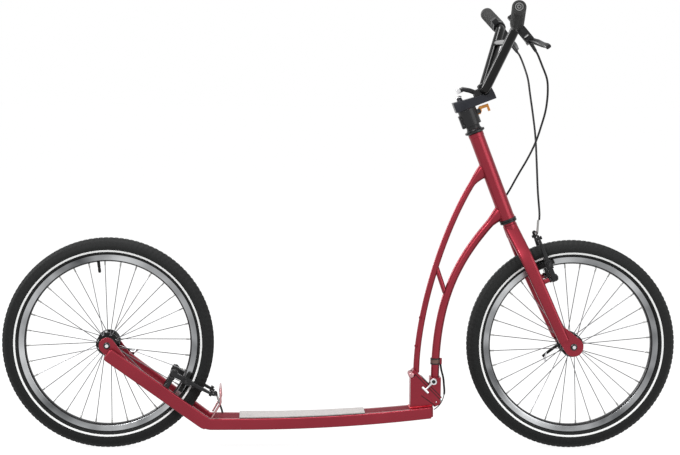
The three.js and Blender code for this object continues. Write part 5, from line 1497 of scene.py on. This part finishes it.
def build_blade(name, side):
    """One fork blade with its brake boss, and the dropout at its foot."""
    corners = [
        Vector((blade_centre(height), side * half, height)) for height, half in
        ((BLADE_TOP_HEIGHT, BLADE_TOP_HALF), (BLADE_KNEE_HEIGHT, BLADE_HALF), (BLADE_FOOT, BLADE_HALF))
    ]
    path = bent_line(corners, [BLADE_KNEE_RADIUS], steps=16)
    last = len(path) - 1

    def section(place):
        share = (path[round(place * last)].z - BLADE_FOOT) / (BLADE_TOP_HEIGHT - BLADE_FOOT)
        depth = BLADE_FOOT_DEPTH + (BLADE_TOP_DEPTH - BLADE_FOOT_DEPTH) * share
        outline = rounded_rectangle(BLADE_WIDTH, depth, BLADE_WIDTH * BLADE_CORNER_SHARE, steps=6)
        return [(a, b - BLADE_TOP_SHIFT * share) for a, b in outline]

    blade = Shape().add(sweep(path, section, FORWARD), 0, STEERING)
    inner = side * (BRAKE_PIVOT_HALF - BOSS_RADIUS)
    outer = side * (BLADE_HALF - BLADE_WIDTH / 2 + 2 * FIT)
    rear = FORK_OFFSET - FORK_BOSS_BACK
    outline = rectangle(rear, rear + 2 * BOSS_RADIUS, BRAKE_PIVOT - BOSS_RADIUS, BRAKE_PIVOT + BOSS_RADIUS)
    blade.add(slab(outline, inner, outer, side_point), 0, STEERING)
    blade.add(brake_boss(side, FORK_BOSS_BACK), 0, FRONT_BRAKE)
    blade.stand_for(f"fork_blade_{name}", "tube", [PAINT])
    centre = blade_centre(BLADE_FOOT)
    near = [(centre + x * BLADE_DEPTH, BLADE_FOOT + z * BLADE_DEPTH) for x, z in FORK_EYE_SHARES]
    eye = teardrop((FORK_OFFSET, 0), FORK_DROPOUT_RADIUS, *near)
    build_dropout("front", name, side, eye, "steering", STEERING)


# Brakes

def arm_middle(side, height):
    """Centre line of a brake arm, across, and the arm's width there."""
    share = (height - BRAKE_PIVOT) / ARM_LENGTH
    if share < ARM_KNEE_SHARE:
        lean = share / ARM_KNEE_SHARE * ARM_KNEE_LEAN_SHARE
    else:
        lean = 1 - (1 - share) / (1 - ARM_KNEE_SHARE) * (1 - ARM_KNEE_LEAN_SHARE)
    return side * (BRAKE_PIVOT_HALF - lean * ARM_LEAN), (1 - ARM_TAPER_SHARE * share) * ARM_WIDTH


def thinned(place, matrix):
    """A point of a brake arm, drawn in towards the arm's middle plane near its upper end."""
    local = matrix.inverted() @ place
    place_share = (local.z - BRAKE_PIVOT) / ARM_LENGTH
    share = clamped((place_share - THIN_FROM_SHARE) / (1 - THIN_FROM_SHARE))
    local.x = ARM_MIDDLE + (local.x - ARM_MIDDLE) * (1 - share * (1 - THIN_END_SHARE))
    return matrix @ local


def add_pad_mounting(black, bright, side, matrix):
    """Washers, nut, stud end and holder that hold the pad to its arm."""
    outward = side * ACROSS
    centre, width = arm_middle(side, PAD_STUD_HEIGHT)
    foot = Vector((ARM_MIDDLE, centre, PAD_STUD_HEIGHT)) + outward * (width / 2 - FIT)
    stack = [(0, 0), *PAD_WASHERS, (0, PAD_WASHERS_LENGTH)]
    black.add(turned(stack, foot, outward), 0, matrix)
    nut_foot = foot + PAD_WASHERS_LENGTH * outward
    bright.add(hexagon(PAD_NUT_RADIUS, PAD_NUT_HEIGHT, nut_foot, outward), 0, matrix)
    stud = [foot + STUD_FROM * outward, foot + STUD_TO * outward]
    bright.add(round_bar(STUD_RADIUS, *stud, BOLT_SIDES, STUD_CHAMFER), 0, matrix)
    half_width, half_height = HOLDER_HALF
    holder = rectangle(ARM_MIDDLE - half_width, ARM_MIDDLE + half_width,
                       PAD_STUD_HEIGHT - half_height, PAD_STUD_HEIGHT + half_height)
    reach = sorted((centre + side * (width / 2 - HOLDER_SUNK), centre + side * (width / 2 + HOLDER_PROUD)))
    black.add(slab(holder, *reach, side_point), 0, matrix)


def spring_line(side):
    """Coil around the pivot and the straight end that rests on the arm."""
    count = SPRING_TURNS * SPRING_TURN_STEPS
    line = []
    for step in range(count + 1):
        angle = 2 * math.pi * step / SPRING_TURN_STEPS
        line.append(Vector((
            BOSS_END - SPRING_BACK + SPRING_LENGTH * step / count,
            side * (BRAKE_PIVOT_HALF + SPRING_COIL * math.cos(angle)),
            BRAKE_PIVOT + SPRING_COIL * math.sin(angle),
        )))
    height = BRAKE_PIVOT + SPRING_REST
    centre, width = arm_middle(side, height)
    beside = centre + side * (width / 2 + SPRING_GAP)
    line.append(Vector((BOSS_END - SPRING_GAP, beside, height)))
    line.append(Vector((ARM_MIDDLE, beside, height + SPRING_REST_RISE)))
    return line


def arm_fittings(prefix, name, side, matrix, body):
    """Pad mounting, pivot sleeve, return spring and cable bolt of one arm."""
    black, bright = Shape(), Shape()
    add_pad_mounting(black, bright, side, matrix)
    pivot = Vector((ARM_MIDDLE + ARM_THICKNESS / 2, side * BRAKE_PIVOT_HALF, BRAKE_PIVOT))
    black.add(turned(SLEEVE_CORNERS, pivot, FORWARD), 0, matrix)
    bright.add(sweep(spring_line(side), circle(SPRING_WIRE, SPOKE_SIDES)), 0, matrix)
    height = BRAKE_PIVOT + ARM_LENGTH - CABLE_BOLT_DROP
    rear, front = (Vector((ARM_MIDDLE + end, arm_middle(side, height)[0], height)) for end in CABLE_BOLT_ENDS)
    black.add(round_bar(CABLE_BOLT_RADIUS, rear, front, BOLT_SIDES, CABLE_BOLT_CHAMFER), 0, matrix)
    black.add(hexagon(CABLE_NUT_RADIUS, CABLE_NUT_HEIGHT, front, FORWARD), 0, matrix)
    black.make(f"{prefix}_arm_fittings_{name}", body, [SATIN_BLACK], "black_paint", edge=FITTING_EDGE)
    bright.make(f"{prefix}_arm_bolts_{name}", body, [DARK_STEEL], "polished_steel")


def build_brake(prefix, matrix, bodies, noodle_start):
    """Two arms with their pads and fittings, and the pipe, boot and wire that join them."""
    def thin(place):
        return thinned(place, matrix)

    for name, side in bodies:
        refined(f"{prefix}_brake_arm_{name}", [SATIN_BLACK], FORGED_EDGE, reshape=thin)
        refined(f"{prefix}_brake_pad_{name}", [RUBBER], BLOCK_EDGE)
        pivot = Vector((BOSS_END + ARM_THICKNESS + 2 * FIT, side * BRAKE_PIVOT_HALF, BRAKE_PIVOT))
        bolt = Shape().add(dome(BOLT_HEAD_RADIUS, BOLT_HEAD_LENGTH, pivot, FORWARD, BOLT_SIDES), 0, matrix)
        carrier = "footboard" if prefix == "rear" else "steering"
        bolt.make(f"{prefix}_brake_bolt_{name}", carrier, [DARK_STEEL], "polished_steel")
        arm_fittings(prefix, name, side, matrix, f"{prefix}_arm_{name}")
    top = BRAKE_PIVOT + ARM_LENGTH + FIT + NOODLE_RADIUS
    corner = Vector((ARM_MIDDLE, ARM_LEAN - BRAKE_PIVOT_HALF, top))
    start = Vector((ARM_MIDDLE, -NOODLE_REACH, top))
    end = Vector((ARM_MIDDLE, BRAKE_PIVOT_HALF - ARM_LEAN, top))
    line = bent_line([Vector(noodle_start), corner, start], [NOODLE_BEND], steps=14)
    node = f"{prefix}_brake_noodle"
    pipe = Shape().add(sweep(line, circle(NOODLE_RADIUS, BOLT_SIDES)), 0, matrix)
    pipe.stand_for(node, "bent", [DULL_METAL])
    folds = []
    for fold in range(BOOT_FOLDS):
        folds += [(BOOT_VALLEY_RADIUS, fold * BOOT_PITCH), (BOOT_RIDGE_RADIUS, (fold + 0.5) * BOOT_PITCH)]
    length = BOOT_FOLDS * BOOT_PITCH
    folds = [(0, 0), *folds, (BOOT_MOUTH_RADIUS, length), (0, length)]
    boot = Shape().add(turned(folds, start, ACROSS, BOLT_SIDES), 0, matrix)
    boot.make(f"{prefix}_brake_boot", BODY_OF[node], [RUBBER], "rubber")
    held = next(name for name, side in bodies if side > 0)
    wire = Shape().add(round_bar(SPRING_WIRE, start, end, SPOKE_SIDES), 0, matrix)
    wire.make(f"{prefix}_brake_wire", f"{prefix}_arm_{held}", [STEEL], "polished_steel")


# Stem, handlebar and levers

def bar_corner(side):
    return Vector((BAR_CORNER_X, side * BAR_CORNER_HALF, BAR_HEIGHT + BAR_CORNER_RISE))


def bar_end(side):
    climb = math.tan(math.radians(BAR_GRIP_RISE)) * (BAR_END_HALF - BAR_CORNER_HALF)
    return Vector((BAR_CORNER_X, side * BAR_END_HALF, BAR_HEIGHT + BAR_CORNER_RISE + climb))


def grip_profile():
    """End face with its rings, rounded rim, ribs and plain lip of a grip."""
    profile = [*GRIP_FACE, *((GRIP_RADIUS - inward, along) for inward, along in GRIP_RIM)]
    stop = GRIP_LENGTH - GRIP_RIBS_END
    pitch = (stop - GRIP_RIBS_FROM) / GRIP_RIBS
    valley = GRIP_RADIUS - GRIP_RIB_DEPTH
    low_end, rise_end, top_end = GRIP_RIB_SHARES
    for rib in range(GRIP_RIBS):
        base = GRIP_RIBS_FROM + rib * pitch
        profile += [
            (valley, base), (valley, base + pitch * low_end),
            (GRIP_RADIUS, base + pitch * rise_end), (GRIP_RADIUS, base + pitch * top_end),
        ]
    return profile + [
        (GRIP_RADIUS, stop + GRIP_LIP), (GRIP_RADIUS, GRIP_LENGTH - GRIP_LIP),
        (GRIP_RADIUS - GRIP_LIP_DROP, GRIP_LENGTH), (BAR_RADIUS + FIT, GRIP_LENGTH), (0, GRIP_LENGTH),
    ]


def build_handlebar():
    def saddle(side):
        return Vector((BAR_FORWARD, side * BAR_SADDLE_HALF, BAR_HEIGHT))

    corners = [bar_end(1), bar_corner(1), saddle(1), saddle(-1), bar_corner(-1), bar_end(-1)]
    line = bent_line(corners, [BAR_BEND, BAR_SADDLE_BEND, BAR_SADDLE_BEND, BAR_BEND], steps=14)
    bar = Shape().add(sweep(line, circle(BAR_RADIUS, ROUND_SIDES)), 0, STEERING)
    ends = [saddle(side).lerp(bar_corner(side), CROSSBAR_SHARE) for side in (-1, 1)]
    bar.add(round_bar(CROSSBAR_RADIUS, *ends), 0, STEERING)
    bar.stand_for("handlebar", "bent", [GLOSS_BLACK])
    profile = grip_profile()
    for name, side in SIDES:
        end = bar_end(side)
        inward = (bar_corner(side) - end).normalized()
        form = turned(profile, end - GRIP_END_WALL * inward, inward, GRIP_SIDES)
        grip = Shape().add(second_finish(form, len(profile), GRIP_RING_FACES), 0, STEERING)
        grip.stand_for(f"grip_{name}", "ribbed", [GRIP_RUBBER, GRIP_RING])


def stem_hardware():
    """Top cap, and the clamp's lugs with their two bolts."""
    rim = [
        (0, 0), (TOP_CAP_RADIUS, 0), (TOP_CAP_RADIUS, TOP_CAP_WALL),
        (TOP_CAP_RADIUS - TOP_CAP_STEP, TOP_CAP_WALL + TOP_CAP_STEP),
    ]
    steps = 5
    for step in range(1, steps + 1):
        angle = math.radians(90 * step / steps)
        radius = (TOP_CAP_RADIUS - 2 * TOP_CAP_STEP) * math.cos(angle)
        rim.append((radius, TOP_CAP_WALL + TOP_CAP_STEP + TOP_CAP_RISE * math.sin(angle)))
    cap = Shape().add(turned(rim, Vector((TOP_CAP_X, 0, TOP_CAP_TOP)), UP), 0, STEERING)
    cap.make("stem_cap_dome", "steering", [STEEL], "polished_steel")
    lug_low, lug_high = CLAMP_LUG_HEIGHTS
    lug, bolts = Shape(), Shape()
    outline = rectangle(*(CLAMP_LUG_X + end for end in CLAMP_LUG_ENDS), lug_low, lug_high)
    for side in (-1, 1):
        low, high = sorted((side * CLAMP_SLOT_HALF, side * CLAMP_LUG_HALF))
        lug.add(slab(outline, low, high, side_point), 0, STEERING)
    for share in CLAMP_BOLT_SHARES:
        middle = Vector((CLAMP_LUG_X, 0, lug_low + (lug_high - lug_low) * share))
        head, nut = middle - CLAMP_LUG_HALF * ACROSS, middle + CLAMP_LUG_HALF * ACROSS
        head_end = head - CLAMP_HEAD_LENGTH * ACROSS
        bolts.add(round_bar(CLAMP_HEAD_RADIUS, head, head_end, BOLT_SIDES, STUD_CHAMFER), 0, STEERING)
        bolts.add(hexagon(CLAMP_NUT_RADIUS, CLAMP_HEAD_LENGTH, nut, ACROSS), 0, STEERING)
        bolts.add(round_bar(CLAMP_SHANK_RADIUS, head, nut, WIRE_SIDES), 0, STEERING)
    lug.make("stem_clamp_lugs", "steering", [SATIN_BLACK], "black_paint", edge=BLOCK_EDGE)
    bolts.make("stem_clamp_bolts", "steering", [DARK_STEEL], "polished_steel")


def raised_blade(place):
    """A corner of a brake lever, the blade beyond its knuckle lifted towards the grip."""
    share = clamped((abs(place.y) - BLADE_LIFT_START) / BLADE_LIFT_RUN)
    return place + Vector((0, 0, BLADE_LIFT * share))


def build_stem():
    stem_hardware()
    for node, material, edge in (
        ("stem_body", SATIN_BLACK, CASTING_EDGE),
        ("stem_block", NAVY_BLACK, BLOCK_EDGE),
        ("bar_clamp", SATIN_BLACK, CASTING_EDGE),
        ("stem_quick_release", SATIN_BLACK, FORGED_EDGE),
        ("stem_safety_lever", ORANGE, CASTING_EDGE),
    ):
        refined(node, [material], edge)
    # The steel tip on the release lever is partly a painted highlight.
    for name, node, outline, half, material, edge in (
        ("safety_catch_root", "stem_safety_lever", CATCH_ROOT, CATCH_ROOT_HALF, ORANGE, BLOCK_EDGE),
        ("stem_release_tip", "stem_quick_release", RELEASE_STEEL_TIP_AND_HIGHLIGHT, RELEASE_STEEL_TIP_AND_HIGHLIGHT_HALF, STEEL, CASTING_EDGE),
    ):
        piece = Shape().add(slab(outline, -half, half, side_point))
        piece.make(name, BODY_OF[node], [material], "polished_steel", edge=edge)
    for name, side in SIDES:
        refined(f"brake_lever_bracket_{name}", [SATIN_BLACK], CASTING_EDGE)
        refined(f"brake_lever_{name}", [SATIN_BLACK], LEVER_EDGE, reshape=raised_blade)
        pivot = Vector((LEVER_PIVOT[0], side * LEVER_PIVOT[1], LEVER_PIVOT[2]))
        half = LEVER_BOSS_HALF * Vector((LEVER_AXIS[0], -side * LEVER_AXIS[1], LEVER_AXIS[2]))
        boss = Shape().add(round_bar(LEVER_BOSS_RADIUS, pivot - half, pivot + half, chamfer=FIT))
        boss.make(f"lever_pivot_{name}", BODY_OF[f"brake_lever_{name}"], [SATIN_BLACK], "black_paint")


def cable_form(route, sheath_share=1):
    """Cable along a route, thinner where its sheath ends."""
    def section(place):
        return circle(CABLE_RADIUS * (1 if place <= sheath_share else BARE_CABLE_SHARE), WIRE_SIDES)

    return Shape().add(sweep(smooth_route(route), section))


def build_cables():
    cable_form(FRONT_BRAKE_ROUTE).stand_for("front_brake_cable", "sheath", [SHEATH])
    make_bending(cable_form(REAR_BRAKE_ROUTE), "rear_brake_lever_cable",
                 "front_frame", "steering", REAR_BRAKE_ROUTE[-1], REAR_BRAKE_BEND_START)
    make_bending(cable_form(FOLD_LOOP_ROUTE, FOLD_SHEATH_SHARE), "fold_cable_loop",
                 "footboard", "front_frame", FOLD_LOOP_ROUTE[-1], FOLD_LOOP_ROUTE[0])
    cable_form(REAR_STUB_ROUTE).stand_for("rear_brake_cable", "sheath", [SHEATH])


def make_bending(form, node, *ends):
    """A cable in the place of a solid, baked where it is built and tied to no body; ends is not used."""
    name = f"{node}_sheath"
    mesh = new_mesh(name, form.vertices, form.faces, [SHEATH])
    mesh.shade_smooth()
    piece = add_object(name, mesh)
    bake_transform(piece)
    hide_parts(node)


def slim_release(centre, tip):
    """A reshape that narrows a quick-release lever beyond its cam."""
    along = (tip - centre).normalized()

    def place(point):
        offset = point - centre
        distance = offset.dot(along)
        across = offset - along * distance
        across.y = 0
        share = clamped((distance - RELEASE_CAM_REACH) / RELEASE_CAM_REACH)
        return point - across * RELEASE_SLIM_SHARE * share

    return place


def build_releases():
    """Wheel release levers, each slim beyond its cam and with a bright hook at its tip."""
    for prefix, (axle, cam_length) in AXLES.items():
        centre = axle + (AXLE_OUTER + cam_length + RELEASE_CENTRE) * ACROSS
        tip = centre - Vector((math.copysign(RELEASE_INWARD, axle.x), 0, RELEASE_DROP))
        node = f"{prefix}_quick_release"
        refined(node, [GLOSS_BLACK], FORGED_EDGE, reshape=slim_release(centre, tip))
        back = (centre - tip).normalized()
        curl = Vector((-back.z, 0, back.x)) * RELEASE_CURL
        line = bezier(tip + back * RELEASE_CAM_REACH, tip + back * RELEASE_CURL, tip, tip - curl, steps=12)
        hook = Shape().add(sweep(line, circle(RELEASE_HOOK_RADIUS, WIRE_SIDES)))
        hook.make(f"{prefix}_release_hook", BODY_OF[node], [STEEL], "polished_steel")


# Studio

def build_studio():
    scene = bpy.context.scene
    scene.view_settings.view_transform = "Standard"
    world = bpy.data.worlds.new("studio")
    scene.world = world
    world.use_nodes = True
    tree = world.node_tree
    glow = spread(tree, seen_directly(tree), *SURROUND_GLOW, 0, 1)
    set_inputs(tree, tree.nodes["Background"], {"Color": (1, 1, 1, 1), "Strength": glow})
    corners = [(x, y, 0) for x, y in rectangle(-FLOOR_REACH, FLOOR_REACH, -FLOOR_REACH, FLOOR_REACH)]
    add_object("floor", new_mesh("floor", corners, [(0, 1, 2, 3)], [floor_material()]))
    for name, values in LAMPS.items():
        area_light(name, *values)


def seen_directly(tree):
    """1 for rays from the camera and for what they see in gloss or through glass, 0 for the rest."""
    rays = add_node(tree, "LightPath", {}).outputs
    total = rays["Is Camera Ray"]
    for ray in ("Is Glossy Ray", "Is Transmission Ray"):
        add = add_node(tree, "Math", {0: total, 1: rays[ray]})
        add.operation = "ADD"
        add.use_clamp = True
        total = add.outputs["Value"]
    return total


def floor_material():
    """Pale floor that is white to the camera apart from a soft shadow."""
    material, tree, shader = new_material("floor_white")
    set_inputs(tree, shader, {"Base Color": (*grey(FLOOR_TONE), 1), "Roughness": FLOOR_ROUGHNESS})
    strength = spread(tree, seen_directly(tree), 0, FLOOR_GLOW, 0, 1)
    glow = add_node(tree, "Emission", {"Color": (1, 1, 1, 1), "Strength": strength})
    clear = add_node(tree, "Emission", {"Strength": 0})
    lit = {1: clear.outputs["Emission"], 2: shader.outputs["BSDF"]}
    shadow = add_node(tree, "MixShader", {"Fac": SHADOW_SHARE, **lit})
    both = add_node(tree, "AddShader", {0: shadow.outputs["Shader"], 1: glow.outputs["Emission"]})
    set_inputs(tree, tree.nodes["Material Output"], {"Surface": both.outputs["Shader"]})
    return material


def area_light(name, place, target, size, power, height):
    """Lamp that faces its target: square, or upright where it has a height."""
    light = bpy.data.lights.new(name, "AREA")
    light.size = size
    if height:
        light.shape = "RECTANGLE"
        light.size_y = height
    light.energy = power
    lamp = add_object(name, light)
    lamp.location = place
    lamp.rotation_mode = "QUATERNION"
    lamp.rotation_quaternion = (Vector(target) - Vector(place)).to_track_quat("-Z", "Y")


def build_camera():
    yaw, pitch, roll = (math.radians(angle) for angle in (CAMERA_YAW, CAMERA_PITCH, CAMERA_ROLL))
    forward = Vector((math.sin(yaw) * math.cos(pitch), math.cos(yaw) * math.cos(pitch), -math.sin(pitch)))
    right = Vector((math.cos(yaw), -math.sin(yaw), 0))
    down = forward.cross(right)
    turned_right = math.cos(roll) * right + math.sin(roll) * down
    turned_down = -math.sin(roll) * right + math.cos(roll) * down
    camera_data = bpy.data.cameras.new("camera")
    camera_data.lens = CAMERA_LENS
    camera_data.sensor_width = SENSOR_WIDTH
    camera_data.clip_start = CAMERA_NEAR
    camera_data.clip_end = CAMERA_FAR
    camera = add_object("camera", camera_data)
    camera.matrix_world = frame_of(turned_right, -turned_down, -forward, Vector(CAMERA_PLACE))
    bpy.context.scene.camera = camera


build_camera()
build_studio()
build_deck()
build_fold()
build_front_frame()
build_fork()
build_wheel("rear", REAR_AXLE, REAR_VALVE_ANGLE, REAR_SPOKE_PHASE)
build_wheel("front", FRONT_AXLE, FRONT_VALVE_ANGLE, FRONT_SPOKE_PHASE)
build_axle("rear")
build_axle("front")
build_brake("rear", REAR_BRAKE, (("right", 1), ("left", -1)), REAR_NOODLE_START)
build_brake("front", FRONT_BRAKE, SIDES, FRONT_NOODLE_START)
build_stem()
build_handlebar()
build_releases()
build_cables()
